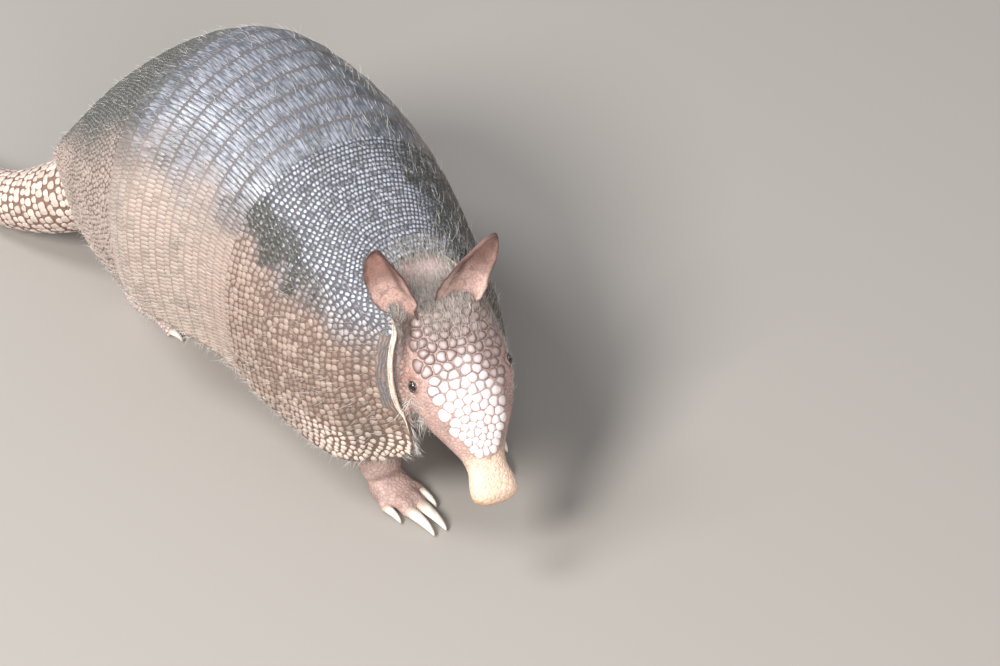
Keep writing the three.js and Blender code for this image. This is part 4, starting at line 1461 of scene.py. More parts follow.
def sculpt_head(points, normals):
    """Shield, eyelids, nostrils and mouth on the finished skin."""
    back, left, up = head_coordinates(points)
    _, angle = head_angles(points)
    inside = on_head(points)
    reach = np.abs(angle) / shield_edge(np.clip(back, 0, 110))
    raised = (1 - rise_between(0.86, 1.06, reach)) * inside
    mouth_angle = mix(1.95, 2.12, rise_between(5, 45, back))
    girth = sample(HEAD_STATIONS, np.clip(back, 0, HEAD_LENGTH), 1)
    off_mouth = (np.abs(angle) - mouth_angle) * girth
    along_mouth = rise_between(2, 7, back) * (1 - rise_between(38, 50, back)) * inside
    mouth = bump_at(off_mouth, 0.9) * along_mouth
    lip = bump_at(off_mouth - 2.2, 1.6) * along_mouth
    wrinkle = soft(points, 0.16, 3) * 0.3 * inside * rise_between(35, 60, back)
    points = points + normals * (0.7 * raised - 1.3 * mouth + 0.35 * lip + wrinkle)[:, None]
    rim = bump_at(back - 3.0, 2.6) * inside * (np.abs(angle) < 2.6)
    points = points + normals * (0.35 * rim)[:, None]
    # The dark mark is painted shadow in the mouth slit, the nostril pits and the eyelid creases, and it also
    # darkens the lid margin round each eye.
    dark = 0.85 * mouth
    for side in SIDES.values():
        nostril = np.hypot((left - side * 4.6) / 1.9, (up + 0.6) / 1.5)
        pit = bump_at(nostril, 0.75) * (back < 3.2) * inside
        points = points - HEAD_FORWARD * (2.6 * pit)[:, None]
        dark = np.maximum(dark, 1.2 * bump_at(nostril, 0.62) * (back < 3.5))
        centre = eye_seat(side)
        offset = points - centre
        outward = HEAD.axes(np.array([EYE_PLACE[0]]), np.array([side * EYE_TURN]))[2][0]
        forth, high = offset @ HEAD_FORWARD, offset @ HEAD_UP
        ring = np.hypot(forth / LID_OPENING[0], (high - 0.5 - 0.06 * forth) / LID_OPENING[1])
        near = (offset @ outward > 0) & (np.linalg.norm(offset, axis=1) < 11)
        radius = np.where(ring < 0.95, EYE_RADIUS - 0.6, EYE_RADIUS + 0.25)
        target = centre + unit(offset) * radius[:, None]
        weight = (1 - rise_between(1.45, 2.5, ring)) * near
        points = mix(points, target, weight[:, None])
        crease = bump_at(ring - 2.1, 0.28) * near
        points = points - outward * (0.3 * crease)[:, None]
        dark = np.maximum(dark, near * np.maximum(1 - rise_between(1.05, 1.5, ring), 0.3 * crease))
    return points, dark, raised


def skin():
    """One skin over all the flesh; returns its points, normals and the area at each point."""
    mesh = applied(
        rough_flesh(),
        ["REMESH", {"mode": "VOXEL", "voxel_size": VOXEL * MM}],
        ["SMOOTH", {"factor": 0.5, "iterations": SMOOTHING}],
    )
    set_points(mesh, tucked_in(vertex_points(mesh)))
    hidden = np.nonzero(under_shell(vertex_points(mesh)))[0]
    kept = 1 - HIDDEN_THINNING * len(hidden) / len(mesh.vertices)
    mesh = applied(mesh, ["DECIMATE", {"ratio": kept, "vertex_group": "chosen"}], group=hidden)
    refine(mesh, on_head(vertex_points(mesh), 100, 30, -28, 26))
    points = vertex_points(mesh)
    refine(mesh, on_head(points, 9, 16, -14, 14) | (eye_gap(points) < 7.5))
    points, dark, raised = sculpt_head(vertex_points(mesh), normals_of(mesh))
    points = above_floor(points, 0.25)
    set_points(mesh, points)
    normals = normals_of(mesh)
    marks = skin_marks(points, normals, dark)
    marks["shield"] = raised
    set_marks(mesh, marks)
    piece("skin", mesh, SKIN_PAINT, ["head", "nose", "trunk", "neck", *LEGS, *FEET])
    share = np.zeros(len(mesh.vertices))
    for face in mesh.polygons:
        share[list(face.vertices)] += face.area
    return points, normals, share


def skin_marks(points, normals, dark):
    """Where the skin changes colour."""
    back, left, up = head_coordinates(points)
    _, y, z = points.T
    inside = on_head(points, low=-32, high=30)
    t, u = shell_coordinates(points)
    snout = (1 - rise_between(20, 36, back + 0.4 * np.abs(left) + 2.5 * soft(points, 0.3, 5))) * inside
    nose = (1 - rise_between(3.5, 9.0, back + 0.5 * (up + 4))) * (up < 3) * inside
    off_head = np.maximum(rise_between(1.02, 1.12, head_swell(points)), rise_between(100, 108, back))
    off_head = off_head * (z > 36) * (y < -70) * rise_between(50, 60, back)
    patch = np.hypot((u - NAPE_SPOT[1]) / 0.16, (t - NAPE_SPOT[0]) / 0.035) + 0.3 * soft(points, 0.2, 2)
    nape = off_head * (1 - rise_between(0.4, 1.1, patch)) * (z > 90)
    throat = rise_between(12, 26, -up) * rise_between(60, 95, back) * (z > 40) * (y < -60)
    steep = np.abs(head_angles(points)[1])
    ragged = steep + 0.25 * soft(points, 0.3, 6)
    jaw = 0.75 * rise_between(1.4, 1.9, ragged) * rise_between(30, 45, back) * inside
    rufous = rise_between(52, 70, back) * rise_between(0.9, 1.2, steep) * (1 - rise_between(1.5, 1.9, steep))
    return {
        "belly": rise_between(0.2, 0.8, -normals[:, 2]) * (z > 20) * (y > -80),
        "snout": snout,
        "nose": nose,
        # Half-dark over the throat: painted shadow under the jaw.
        "dark": np.clip(np.maximum(dark, 0.5 * throat), 0, 1),
        "collar": np.clip(np.maximum(off_head, np.maximum(throat, jaw)) - nape, 0, 1),
        "rufous": np.clip(rufous * inside, 0, 1),
        "nape": np.clip(nape, 0, 1),
    }


def eyes():
    """A dark ball in each eye's seat."""
    for name, side in SIDES.items():
        bm = bmesh.new()
        bmesh.ops.create_uvsphere(bm, u_segments=40, v_segments=28, radius=EYE_RADIUS * MM)
        bmesh.ops.translate(bm, verts=bm.verts, vec=settle(eye_seat(side)))
        piece("eyeball_" + name, mesh_of(bm, "eye"), EYE_PAINT, ["eye_" + name])


# ---------------------------------------------------------------- the ears
def head_direction(parts, side):
    """A direction from its forward, upward and outward parts on this side of the head."""
    forwards, upwards, outwards = parts
    return unit(HEAD_FORWARD * forwards + HEAD_UP * upwards + HEAD_SIDE * side * outwards)


def ear_axes(name):
    """Directions from the ear's root to its tip, out of its hollow and towards its outer edge."""
    axis, facing = (head_direction(EARS[name][key], SIDES[name]) for key in ("points", "faces"))
    facing = unit(facing - axis * (facing @ axis))
    return axis, facing, np.cross(axis, facing) * SIDES[name]


def ear_point(name, p, q):
    """The middle of the ear's leaf: p runs from root to tip, q across from -1 to 1."""
    shape = EARS[name]
    at_root = shape["spread_at_root"]
    axis, facing, across = ear_axes(name)
    opened = np.maximum(p, 0)
    width = EAR_HALF_WIDTH * (0.42 + 0.58 * np.sin(np.minimum(opened * 2.7, 1) * math.pi / 2))
    around = (1 - np.maximum(2 * p - 1, 0) ** 2.4) ** (0.8 if at_root else 0.55)
    cup = mix(1.7, EAR_CUP, np.minimum(opened * 2, 1))
    radius = width * around / np.sin(np.minimum(cup, math.pi / 2))
    bulge = np.sin(opened * math.pi)
    angle = q * cup
    sideways = shape["swing"] * bulge + radius * np.sin(angle) * (1 + 0.16 * np.clip(q, 0, 1))
    flare = shape["spread"] * mix(at_root, 1, rise_between(-0.05, 0.2, p))
    flare = flare * (1 - rise_between(*shape["spread_fades"], p))
    sideways = sideways - flare * np.clip(-q, 0, 1) ** 1.3
    forth = shape["bow"] * bulge + radius * 0.6 - radius * np.cos(angle)
    curl = rise_between(0.72, 1.0, np.abs(q)) * 0.9 * around
    roll = np.clip((-q - 0.5) / 0.5, 0, 1) ** 1.6 * 5.2 * np.clip(2.2 * p * (1.25 - p), 0, 1)
    ripple = 0.35 * np.sin(q * 9 + 3 * p) * (1 - p)
    ripple += 0.25 * np.sin(p * 40) * rise_between(0.5, 0.9, np.abs(q)) * (p < 0.95)
    forth = forth + curl + ripple + roll
    length = (p - 0.12) * EAR_LENGTH
    return (
        head_place(*shape["base"])
        + axis * length[..., None]
        + across * sideways[..., None]
        + facing * forth[..., None]
    )


def ear(name):
    """The leaf's two sides and its rounded edge in one closed sheet."""
    root = EARS[name]["root"]
    facing = ear_axes(name)[1]
    leaf = Surface(lambda p, q: ear_point(name, p, q), 0.01, 0.02)

    def place(p, q):
        turn = q * 2 * math.pi
        share = mix(root, 0.99, np.sin(p * math.pi / 2))
        across = signed_power(np.cos(turn), 0.8)
        wall = EAR_WALL * mix(1.0, 0.6, rise_between(0.6, 1.0, share)) / 2
        outward = leaf.axes(share, across * 0.97)[2]
        outward = outward * np.sign(outward @ facing)[..., None]
        offset = wall * signed_power(np.sin(turn), 0.6) * np.sqrt(np.clip((0.995 - share) / 0.03, 0, 1))
        return leaf.point(share, across) + outward * offset[..., None]

    mesh = closed_tube(place, 90, 120)
    grid = np.meshgrid(np.linspace(root, 0.99, 90), np.linspace(-1, 1, 61))
    shares, sides = (axis.ravel() for axis in grid)
    found = nearest(tree_of(leaf.point(shares, sides)), vertex_points(mesh))
    along, across = shares[found], sides[found]
    towards = normals_of(mesh) @ facing
    # The rim mark is painted shade: a dark outline along the leaf's edges and a dark fold in the hollow near
    # the inner edge.
    edge = np.maximum(rise_between(0.86, 1.0, np.abs(across)), rise_between(0.86, 0.985, along))
    crease = 0.9 * bump_at(across + 0.56, 0.2) * (towards > 0) * rise_between(0.1, 0.4, along)
    inner = rise_between(-0.1, 0.35, towards) * (1 - rise_between(0.25, 0.7, along))
    set_marks(mesh, {"inner": inner, "rim": np.maximum(edge, crease)})
    piece("ear_leaf_" + name, mesh, EAR_PAINT, ["ear_" + name])


# ---------------------------------------------------------------- scales of the head
CROWN_FRONT, CROWN_REAR = 24.5, 99  # back from the nose
CROWN_SIDES = 16
CROWN_STEPS = 80  # along each row


def head_scales():
    """The crown's plates: rows across the scaly shield, every other one set half a plate aside."""
    backs, angles, pitches = [], [], []
    back, odd = CROWN_FRONT, False
    while back < CROWN_REAR:
        pitch = mix(3.5, 5.2, rise_between(24, 58, back))
        edge = float(shield_edge(np.array(back)))
        turns = np.linspace(-edge, edge, CROWN_STEPS)
        passed = lengths_along(head_point(np.full(CROWN_STEPS, back), turns))
        across = (np.arange(-9, 10) + 0.5 * odd) * pitch
        across = across[np.abs(across) < passed[-1] / 2 - 0.22 * pitch]
        backs.extend([back] * len(across))
        angles.extend(np.interp(across + passed[-1] / 2, passed, turns))
        pitches.extend([pitch] * len(across))
        back += pitch * 0.93
        odd = not odd
    back, angle, pitch = (np.array(values) for values in (backs, angles, pitches))
    stray = dice.normal(0, 0.11, (2, len(back))) * pitch
    back, angle = HEAD.shifted(back, angle, *stray)
    seeds = Seeds.on_surface(HEAD, back, angle)
    outlines = seeds.cells(CROWN_SIDES, pitch * 0.8, -0.04, 12, 8)
    waves = np.arange(CROWN_SIDES) * 3 * math.pi / 8
    outlines *= 1 + 0.06 * np.sin(waves + dice.random((len(back), 1)) * 6)
    reach = np.abs(angle) / shield_edge(back)
    base = 0.62 - 0.35 * rise_between(0.75, 1.0, reach)
    height = 0.7 * dice.normal(1, 0.1, back.shape)
    spots = bake_spots(HEAD, back, angle, (15, 108), (-1.7, 1.7))
    left = head_coordinates(head_point(back, angle))[1]
    # Painted shade, added to the back mark: darker towards the shield's edges and on the head's left side.
    painted_shade = 0.22 * rise_between(0.55, 1.0, reach)
    painted_shade += 0.35 * rise_between(4, 15, left) * rise_between(20, 50, back)
    marks = {"back": rise_between(30, 100, back) + painted_shade}
    mesh = mounds("crown_scales", seeds, outlines, CROWN_SCALE, height, base, marks, spots)
    piece("crown_scales", mesh, HEAD_PAINT, ["head_shield"])


# ---------------------------------------------------------------- small scales on the skin
def scatter(points, chosen, pitch):
    """Indices of chosen points, no two closer than the pitch there."""
    where = np.nonzero(chosen)[0]
    tree = tree_of(points[where])
    free = np.ones(len(where), bool)
    kept = []
    for i in dice.permutation(len(where)):
        if not free[i]:
            continue
        kept.append(i)
        for _, near, _ in tree.find_range(points[where[i]], float(pitch[where[i]])):
            free[near] = False
    return where[kept]


def skin_spots(points):
    """Places on the bake map: round the body and along it."""
    round_body = np.arctan2(points[..., 0] - 5, points[..., 2] - 70) / (2 * math.pi) + 0.5
    along_body = (points[..., 1] + 215) / 430
    return np.clip(0.01 + 0.98 * np.stack([round_body, along_body], axis=-1), 0, 1)


def skin_scales(name, points, normals, chosen, pitch, ahead, height, paint):
    """Low scales over the chosen stretch of skin, their pitch and height given for each point."""
    picked = scatter(points, chosen, pitch * 0.82)
    pitch = pitch[picked]
    seeds = Seeds.on_skin(points[picked], np.broadcast_to(ahead, points.shape)[picked], normals[picked])
    outlines = seeds.cells(8, pitch * 0.6, 0.1, near=8)
    rise = height[picked] * dice.normal(1, 0.12, len(picked))

    def spots(forth, side):
        around = np.stack([forth, side], axis=-1) * 0.0006
        return np.clip(skin_spots(points[picked])[:, None] + around, 0, 1)

    mesh = mounds(name, seeds, outlines, ROUND_SCALE, rise, -0.12, {}, spots)
    piece(name, mesh, paint)


def leg_and_cheek_scales(points, normals):
    """Small scales on the cheeks, over the nape, on the feet and shins and round the tail's root."""
    back, angle = head_angles(points)
    _, y, z = points.T
    side = np.abs(angle)
    gap = eye_gap(points)
    cheek = on_head(points, 104, low=-26, high=24) & (back > 36) & (head_swell(points) < 1.12) & (gap > 5.0)
    cheek = cheek & (side > shield_edge(np.clip(back, 0, 110)) * 1.03) & (side < 1.8)
    pitch = mix(1.4, 2.5, rise_between(36, 62, back))
    pitch = np.minimum(pitch, np.maximum(1.5, (gap - 3) * 0.55))
    height = np.full(len(points), 0.26)
    skin_scales("cheek_scales", points, normals, cheek, pitch, -HEAD_FORWARD, height, CHEEK_PAINT)
    t, u = shell_coordinates(points)
    from_spot = np.hypot((u - NAPE_SPOT[1]) / 0.15, (t - NAPE_SPOT[0]) / 0.033)
    grey = from_spot + 0.35 * soft(points, 0.3, 4) > 1.05
    nape = grey & (back > 100) & (y < -85) & (z > 100) & (t < neck_rim(u) + 0.004) & (np.abs(u) < 0.45)
    pitch = np.full(len(points), 2.3)
    skin_scales("nape_scales", points, normals, nape, pitch, -HEAD_FORWARD, 0.1 * pitch, NAPE_PAINT)
    low = z < 46
    fore = low & (y < -20) & (normals[:, 2] > -0.45) & (back > 118)
    hind = low & (y > 20) & (normals[:, 2] > -0.45)
    pitch = mix(1.9, 3.6, rise_between(5, 24, z))
    height = mix(0.3, 0.5, rise_between(5, 24, z))
    down = np.array([0, -0.5, -0.85])
    rump = (y > 112) & (z > 34) & ~under_shell(points) & (t > 0.93)
    legs = (fore | hind) & (z > 1.5)
    skin_scales("leg_scales", points, normals, legs | rump, pitch, down, height, LEG_PAINT)


# ---------------------------------------------------------------- the tail
TAIL_SCALE_SIDES = 12
TAIL_COLUMNS = 56
RING_STEPS = (0.0, 0.08, 0.3, 0.6, 0.9, 0.985)  # shares of a ring where its ground has a line
RING_ROWS = ((0.24, 0.42), (0.72, 0.56))  # middle and length of each row of scales, as shares
NEARLY_ONE = 0.9999  # still inside the last ring


def tail_rings():
    """Shares of the tail where each ring starts, closer together towards the tip."""
    shares = [0.0]
    while shares[-1] < 0.985:
        here = shares[-1]
        before, step = (here - 0.005, 0.01) if here else (0.0, 0.005)
        ahead = tail_centre(np.array(here + 0.005)) - tail_centre(np.array(before))
        length = np.linalg.norm(ahead) / step
        shares.append(here + mix(12.5, 5.0, here**0.8) / length)
    return np.array(shares[:-1] + [1.0])


def tail_lift(share, rings):
    """Each ring's ground rises from under the ring before it to its own rear edge."""
    i = np.clip(np.searchsorted(rings, share, side="right") - 1, 0, len(rings) - 2)
    inside = (share - rings[i]) / (rings[i + 1] - rings[i])
    size = sample(TAIL_ROWS, share, 4)
    return np.minimum(0.09 * size, 1.1) * (inside**0.8 - 1.0) - 0.35


def tail():
    """The tail's ringed ground, and two rows of scales round each ring."""
    rings = tail_rings()
    rows = []
    for start, end in zip(rings, rings[1:]):
        rows.extend(mix(start, end, share) for share in RING_STEPS)
    rows = np.array(rows + [1.0])

    def place(p, q):
        share = np.interp(p * (len(rows) - 1), np.arange(len(rows)), rows)
        lift = tail_lift(np.minimum(share, NEARLY_ONE), rings)
        return TAIL.lifted(share, q * 2 * math.pi, lift)

    mesh = closed_tube(place, len(rows) - 1, TAIL_COLUMNS)
    points = above_floor(vertex_points(mesh))
    set_points(mesh, points)
    set_marks(mesh, {"tone": np.full(len(points), 0.5), "rise": np.full(len(points), 0.15)})
    piece("tail_ground", mesh, TAIL_PAINT, ["tail_1", "tail_2", "tail_3", "tail_4"])
    shares, angles, pitches, stretches = [], [], [], []
    for n, (start, end) in enumerate(zip(rings, rings[1:])):
        size = float(sample(TAIL_ROWS, (start + end) / 2, 4))
        length = np.linalg.norm(tail_centre(np.array(end)) - tail_centre(np.array(start)))
        for row, (middle, part) in enumerate(RING_ROWS):
            pitch = mix(2.4, 5.6, min(size / 20, 1)) * (0.85 if row == 0 else 1.0)
            count = max(6, round(2 * math.pi * size / pitch))
            turns = (np.arange(count) + 0.5 * ((n + row) % 2)) / count * 2 * math.pi
            shares.extend([mix(start, end, middle)] * count)
            angles.extend(turns)
            pitches.extend([2 * math.pi * size / count] * count)
            stretches.extend([length * part] * count)
    share, angle, pitch, stretch = (np.array(values) for values in (shares, angles, pitches, stretches))
    angle = angle + dice.normal(0, 0.03, angle.shape)
    spoke, part, rise, faces = mound_mould(TAIL_SCALE_SIDES, FLAT_SCALE)
    turn = spoke * 2 * math.pi / TAIL_SCALE_SIDES
    forth = stretch[:, None] / 2 * signed_power(np.cos(turn), 0.8) * part * 1.02
    narrow = 1 - 0.22 * np.cos(turn)
    side = pitch[:, None] / 2 * signed_power(np.sin(turn), 0.75) * part * 0.93 * narrow
    pp, qq = TAIL.shifted(share[:, None], angle[:, None], forth, side)
    pp = np.clip(pp, 0, NEARLY_ONE)
    height = 0.075 * pitch[:, None] + 0.25
    points = above_floor(TAIL.lifted(pp, qq, tail_lift(share, rings)[:, None] + 0.12 + height * rise))
    marks = {"tone": np.repeat(dice.random(len(share)), len(spoke)), "rise": np.tile(rise, len(share))}
    spots = np.stack([np.clip(inset(qq / (2 * math.pi)), 0, 1), inset(pp)], axis=-1)
    mesh = joined_copies("tail_scale_rows", points, faces, marks, spots)
    piece("tail_scale_rows", mesh, TAIL_PAINT)


# ---------------------------------------------------------------- the claws
CLAW_CURL = 1.35  # radians that a claw's arc turns through


def claw(foot, name, digit):
    """A curved horn claw, flatter below, that narrows to a point just above the floor."""
    inward, forward, length, radius = digit

    def place(share, q):
        reach = forward - 1.2 + (length + 1.4) * np.sin(share * CLAW_CURL) / math.sin(CLAW_CURL)
        height = mix(radius + TOE_WALL, 1.0, share**2.2) + 0.8 * np.sin(share * math.pi)
        size = (radius + 0.25) * (1 - share) ** 0.62 + 0.12 * (1 - share) + 0.02
        along = unit(foot.along + np.array([0, 0, -0.9]) * share[..., None])
        up = np.cross(foot.across, along)
        up = up * np.sign(up[..., 2:3])
        turn = q * 2 * math.pi
        under = 1 - 0.28 * (np.sin(turn) < 0)
        wide = size * np.cos(turn)
        tall = size * np.sin(turn) * under
        rise = np.array([0, 0, 1.0]) * height[..., None]
        centre = foot.place(inward, 0, 0) + foot.along * reach[..., None] + rise
        return centre + foot.across * wide[..., None] + up * tall[..., None]

    mesh = closed_tube(place, 28, 24)
    points = above_floor(vertex_points(mesh), 0.15)
    set_points(mesh, points)
    reach = ((points - foot.place(inward, forward, 0)) @ foot.along) / length
    set_marks(mesh, {"reach": np.clip(reach, 0, 1)})
    piece(name.replace("claw", "horn"), mesh, HORN_PAINT, [name])


def claws():
    """A horn claw for every digit, in place of its solid."""
    for name in FEET:
        foot = Foot(name)
        kind, side = name.split("foot_")
        for n, digit in enumerate(DIGITS[foot.kind]):
            claw(foot, "claw_" + kind + "_" + side + "_" + str(n + 1), digit)


# ---------------------------------------------------------------- the rim round the neck
def rim_strip(name, side):
    """The smooth pale fold that edges the shield beside the neck."""

    def place(p, q):
        u = side * mix(0.2, 0.84, p)
        turn = q * 2 * math.pi
        size = 0.12 + rise_between(0.0, 0.16, p) * (1 - rise_between(0.75, 1.0, p))
        groove = 1 - 0.5 * bump_at(turn - math.pi * 0.62, 0.4)
        ahead = 1.25 * size * np.cos(turn) * groove - 0.2
        t, around = SHELL.shifted(neck_rim(u), u, ahead, 0 * u)
        ridges = 0.1 * np.sin(turn * 7) + 0.08 * np.sin(p * 260 + np.sin(turn * 2))
        return SHELL.lifted(t, around, -1.2 + (1.3 * np.sin(turn) * groove + ridges) * size)

    piece("rim_strip_" + name, closed_tube(place, 260, 40), RIM_PAINT)


# ---------------------------------------------------------------- hair
def hair_mould():
    """One three-sided tapering hair along +z, from 0 to 1, in three lengths."""
    bm = bmesh.new()
    bmesh.ops.create_cone(bm, cap_ends=True, segments=3, radius1=1, radius2=0.12, depth=1)
    bmesh.ops.translate(bm, verts=bm.verts, vec=(0, 0, 0.5))
    for height in (0.3, 0.65):
        geometry = bm.verts[:] + bm.edges[:] + bm.faces[:]
        bmesh.ops.bisect_plane(bm, geom=geometry, plane_co=(0, 0, height), plane_no=(0, 0, 1))
    bm.verts.index_update()
    corners = np.array([corner.co[:] for corner in bm.verts])
    faces = [[corner.index for corner in face.verts] for face in bm.faces]
    bm.free()
    return corners, faces


HAIR_CORNERS, HAIR_FACES = hair_mould()
HAIR_SINK = 0.3  # how deep a hair starts


def hairs(name, roots, outward, lie, length, stand, spots, pale, thick, spread=0.22):
    """Hairs from the roots, rising by `stand` of their length and bending over towards `lie`."""
    count = len(roots)
    lie = unit(lie - outward * np.sum(lie * outward, axis=1, keepdims=True))
    lie = unit(lie + dice.normal(0, spread, (count, 3)))
    aside = unit(np.cross(lie, outward))
    length = (length * dice.uniform(0.6, 1.25, count))[:, None, None]
    rise = (stand * dice.uniform(0.6, 1.4, count))[:, None, None]
    sway = dice.normal(0, 0.12, count)[:, None, None]
    share = HAIR_CORNERS[None, :, 2:3]
    round_hair = HAIR_CORNERS[None, :, :2] * thick * dice.uniform(0.75, 1.2, count)[:, None, None]
    line = roots[:, None] - outward[:, None] * HAIR_SINK + length * (
        lie[:, None] * (share * 0.75 + share**2 * 0.25)
        + outward[:, None] * rise * (share * 1.6 - share**2 * 0.8)
        + aside[:, None] * sway * share**2
    )
    line = line + aside[:, None] * round_hair[..., :1] + outward[:, None] * round_hair[..., 1:]
    points = above_floor(line)
    tone = np.clip(dice.random(count) - pale, 0, 1)
    patch = spots[:, None] + HAIR_CORNERS[None, :, :2] * 0.0013
    marks = {"tone": np.repeat(tone, len(HAIR_CORNERS))}
    mesh = joined_copies(name, points, HAIR_FACES, marks, np.clip(patch, 0, 1))
    piece(name, mesh, HAIR_PAINT)


def skin_hairs(name, points, normals, weight, count, lie, length, stand, *look):
    """Hairs on the skin, denser where the weight is greater."""
    chance = np.clip(weight, 0, None) * SKIN_SHARES
    picked = dice.choice(len(points), count, p=chance / chance.sum())
    jitter = dice.normal(0, 0.6, (count, 3))
    outward = normals[picked]
    jitter -= outward * np.sum(jitter * outward, axis=1, keepdims=True)
    lie = np.broadcast_to(lie, points.shape)[picked]
    spots = skin_spots(points[picked])
    hairs(name, points[picked] + jitter, outward, lie, length, stand, spots, *look)


def shell_roots(t, u, depth):
    """The shell's directions at these places, roots this deep under them, and bake map spots."""
    spots = np.stack([inset((u + 1) / 2), inset(t)], axis=-1)
    return SHELL.axes(t, u), SHELL.lifted(t, u, np.full(len(t), -depth)), spots


def shell_hairs():
    """Sparse fine hair over the whole shell, thicker towards the neck and the lower edges."""
    t, u = dice.uniform(0, 1, 9000), dice.uniform(-1, 1, 9000)
    chance = 0.28 + 0.3 * (1 - rise_between(0.1, 0.35, t)) + 0.4 * rise_between(0.75, 1, np.abs(u))
    kept = (t > neck_rim(u) + 0.01) & (dice.random(len(t)) < chance)
    t, u = t[kept], u[kept]
    (ahead, aside, outward), roots, spots = shell_roots(t, u, 0.9)
    lie = ahead + aside * dice.normal(0, 0.25, (len(t), 1))
    lie = lie + np.array([0, 0, -0.35]) * rise_between(0.3, 0.8, np.abs(u))[:, None]
    hairs("shell_hairs", roots, outward, lie, 6.5, 0.3, spots, 0.35, 0.10)

    t, u = dice.uniform(-0.016, 0.022, 2000), dice.uniform(-0.3, 0.45, 2000)
    (ahead, _, outward), roots, spots = shell_roots(t + neck_rim(u), u, 1.2)
    hairs("nape_hairs", roots, outward, ahead, 5.5, 0.3, spots, -0.1, 0.10, spread=0.4)

    u = dice.uniform(-1, 1, 700)
    u = u[rise_between(0.7, 0.95, np.abs(u)) > dice.random(700) * 0.9]
    (ahead, _, outward), roots, spots = shell_roots(neck_rim(u) + 0.004, u, 3.2)
    hairs("rim_hairs", roots, outward, -ahead + np.array([0, 0, -0.6]), 7.0, 0.1, spots, 0.5, 0.12)

    u = np.concatenate([dice.uniform(-1.0, -0.97, 900), dice.uniform(0.97, 1.0, 900)])
    (ahead, _, outward), roots, spots = shell_roots(dice.uniform(0.02, 0.97, 1800), u, 2.0)
    lie = ahead * 0.5 + np.array([0, 0, -1.0]) - outward * 0.3
    hairs("fringe_hairs", roots, outward, lie, 9.0, 0.1, spots, 0.3, 0.12)


def body_hairs(points, normals):
    """Hair on the head, throat, belly and legs."""
    back, angle = head_angles(points)
    left = head_coordinates(points)[1]
    _, y, z = points.T
    steep = np.abs(angle)
    inside = on_head(points)
    visible = ~under_shell(points)
    t, u, _, depth = below_shell(points)
    crown = inside * rise_between(72, 96, back) * (1 - rise_between(1.2, 1.8, steep))
    nape = (back > 96) & (t < neck_rim(u) + 0.012) & (y < -85) & (z > 100) & (np.abs(u) < 0.5)
    nape = nape * (0.35 + 0.65 * rise_between(0.12, 0.3, np.abs(u - 0.12)))
    temple = rise_between(11, 16, np.abs(left)) * inside
    cheek = inside * rise_between(38, 62, back) * rise_between(0.9, 1.3, steep)
    cheek = cheek * (1 - rise_between(2.2, 2.5, steep))
    ahead_of_rim = (t < neck_rim(u) + 0.002) | (depth > 9)
    jaw = inside * rise_between(44, 60, back) * rise_between(1.65, 2.0, steep)
    jaw = jaw * ahead_of_rim * (1 - rise_between(70, 84, z)) * (left < 0)
    throat = (back > 60) & (t < neck_rim(u) - 0.012) & (y < -110) & (z < 86) & (z > 44) & (left < 4)
    tufts = (jaw + throat) * rise_between(-0.4, 0.3, soft(points, 0.16, 8))
    chin = inside * rise_between(12, 30, back) * rise_between(1.9, 2.3, steep)
    belly = visible & (normals[:, 2] < -0.2) & (z > 22) & (y > -90)
    belly = belly * (0.15 + bump_at((y % 22) - 11, 3.0))
    legs = visible & (z < 55) & (z > 9) & (back > 118)
    legs = legs * (0.3 + rise_between(20, 40, z))
    backwards = -HEAD_FORWARD + HEAD_UP * 0.1
    downward = HEAD_SIDE * np.sign(left)[:, None] * 0.5 + np.array([0, -0.1, -1.0])
    # Name, weight, count, the way they lie, length, stand, paleness, thickness and spread.
    for name, *settings in (
        ("crown_hairs", crown * (1 - temple) + nape, 3400, backwards, 6.0, 0.3, 0.2, 0.10),
        ("temple_hairs", crown * temple, 1500, backwards, 5.0, 0.3, -0.55, 0.10),
        ("cheek_hairs", cheek, 1700, backwards - HEAD_UP * 0.25, 3.8, 0.3, 0.3, 0.09),
        ("throat_tufts", tufts, 800, downward, 9.5, 0.6, 0.75, 0.2, 0.5),
        ("chin_hairs", chin, 260, backwards, 4.0, 0.4, 0.3, 0.09),
        ("belly_hairs", belly, 1500, (0, 0.8, -0.6), 9.0, 0.45, 0.2, 0.12),
        ("leg_hairs", legs, 900, (0, 0.1, -1.0), 6.0, 0.3, 0.2, 0.10),
    ):
        skin_hairs(name, points, normals, *settings)


def ear_hairs():
    """A few short hairs in each ear's hollow."""
    for name in EARS:
        leaf = Surface(lambda p, q, name=name: ear_point(name, p, q), 0.01, 0.02)
        facing = ear_axes(name)[1]
        p = dice.uniform(0.02, 0.6, 170) ** 1.3
        q = dice.uniform(-0.95, 0.95, 170)
        ahead, _, outward = leaf.axes(p, q)
        outward = outward * np.sign(outward @ facing)[:, None]
        spots = np.stack([0.5 + q * 0.45, 0.1 + 0.8 * p], axis=-1)
        roots = leaf.point(p, q) + outward * 0.5
        hairs("ear_hairs_" + name, roots, outward, ahead, 3.6, 0.35, spots, 0.2, 0.08)


SKIN_POINTS, SKIN_NORMALS, SKIN_SHARES = skin()
eyes()
for ear_name in EARS:
    ear(ear_name)
head_scales()
leg_and_cheek_scales(SKIN_POINTS, SKIN_NORMALS)
tail()
claws()
for rim_name, rim_side in SIDES.items():
    rim_strip(rim_name, rim_side)
shell_hairs()
body_hairs(SKIN_POINTS, SKIN_NORMALS)
ear_hairs()


# ---------------------------------------------------------------- stage
FLOOR_SIZE = 6  # metres to each side


def stage():
    """A plain floor, outside the part."""
    bm = bmesh.new()
    bmesh.ops.create_grid(bm, x_segments=1, y_segments=1, size=FLOOR_SIZE)
    mesh = mesh_of(bm, "floor")
    mesh.materials.append(floor_paint())
    new_object("floor", mesh)


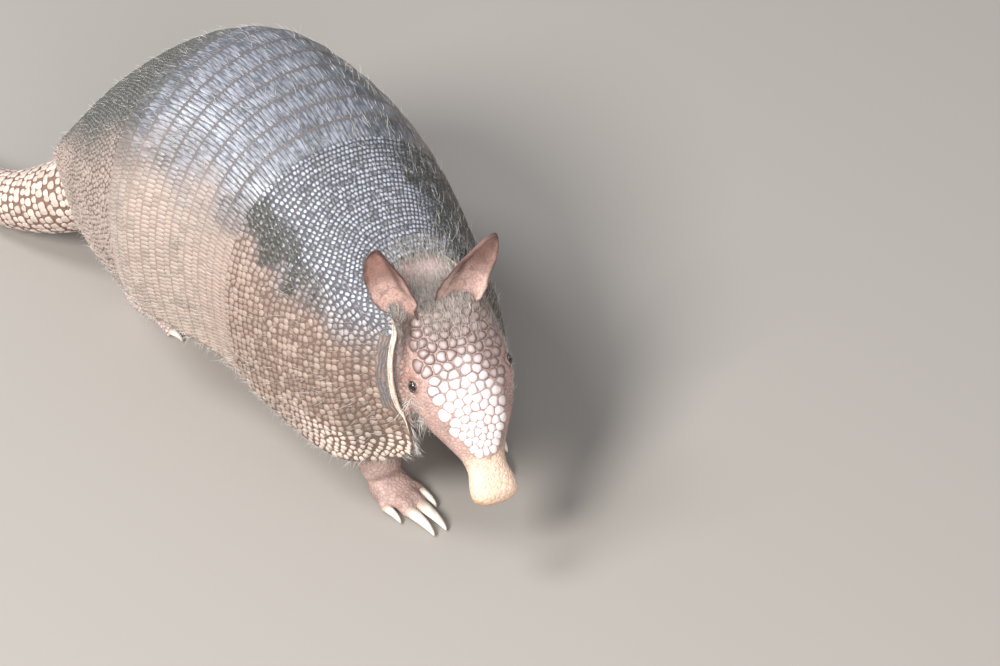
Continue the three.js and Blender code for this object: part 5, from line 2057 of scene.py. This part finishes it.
def lamp(name, place, target, size, power, colour):
    light = bpy.data.lights.new(name, "AREA")
    light.shape = "DISK"
    light.size = size
    light.energy = power
    light.color = colour
    made = new_object(name, light)
    direction = Vector(target) - Vector(place)
    made.matrix_world = Matrix.Translation(place) @ direction.to_track_quat("-Z", "Y").to_matrix().to_4x4()


def light():
    """Soft daylight from above and from the animal's right."""
    world = bpy.data.worlds.new("soft_light")
    bpy.context.scene.world = world
    world.use_nodes = True
    world.node_tree.nodes["Background"].inputs["Color"].default_value = (0.86, 0.92, 1.0, 1)
    world.node_tree.nodes["Background"].inputs["Strength"].default_value = 0.36
    lamp("key", (-1.6, -0.7, 1.75), (0, 0, 0.08), 0.9, 62, (1.0, 0.98, 0.955))
    lamp("top", (-0.9, 0.6, 2.0), (0, 0, 0.1), 0.8, 26, (0.93, 0.96, 1.0))
    lamp("fill", (-0.5, -1.9, 1.1), (0, -0.15, 0.08), 1.0, 20, (1.0, 0.98, 0.95))
    bpy.context.scene.view_settings.view_transform = "Standard"


# Camera: azimuth, elevation and roll about the point it looks past, which sits off the picture's centre.
AZIMUTH = math.radians(-25.64)
ELEVATION = math.radians(40.93)
ROLL = math.radians(-5.918)
DISTANCE = 2.0902
FOCAL_PIXELS = 4026.7
PICTURE_WIDTH, PICTURE_HEIGHT = 1000, 666
AIM = (0, 0, 100)  # in the animal's frame
AIM_PIXEL = (301.4, 202.4)
SENSOR_WIDTH = 36


def camera():
    """The main view's camera."""
    right = np.array([math.cos(AZIMUTH), math.sin(AZIMUTH), 0])
    back = np.array(
        [
            math.sin(AZIMUTH) * math.cos(ELEVATION),
            -math.cos(AZIMUTH) * math.cos(ELEVATION),
            math.sin(ELEVATION),
        ]
    )
    up = np.cross(back, right)
    rolled = right * math.cos(ROLL) + up * math.sin(ROLL)
    upright = -right * math.sin(ROLL) + up * math.cos(ROLL)
    aside = (AIM_PIXEL[0] - PICTURE_WIDTH / 2) / FOCAL_PIXELS * DISTANCE
    below = (AIM_PIXEL[1] - PICTURE_HEIGHT / 2) / FOCAL_PIXELS * DISTANCE
    place = settle(AIM) + back * DISTANCE - rolled * aside + upright * below
    lens = bpy.data.cameras.new("camera")
    lens.sensor_width = SENSOR_WIDTH
    lens.lens = FOCAL_PIXELS / PICTURE_WIDTH * SENSOR_WIDTH
    lens.clip_start = 0.05
    made = new_object("camera", lens)
    axes = Matrix((rolled, upright, back)).transposed().to_4x4()
    made.matrix_world = Matrix.Translation(place) @ axes
    bpy.context.scene.camera = made


stage()
light()
camera()
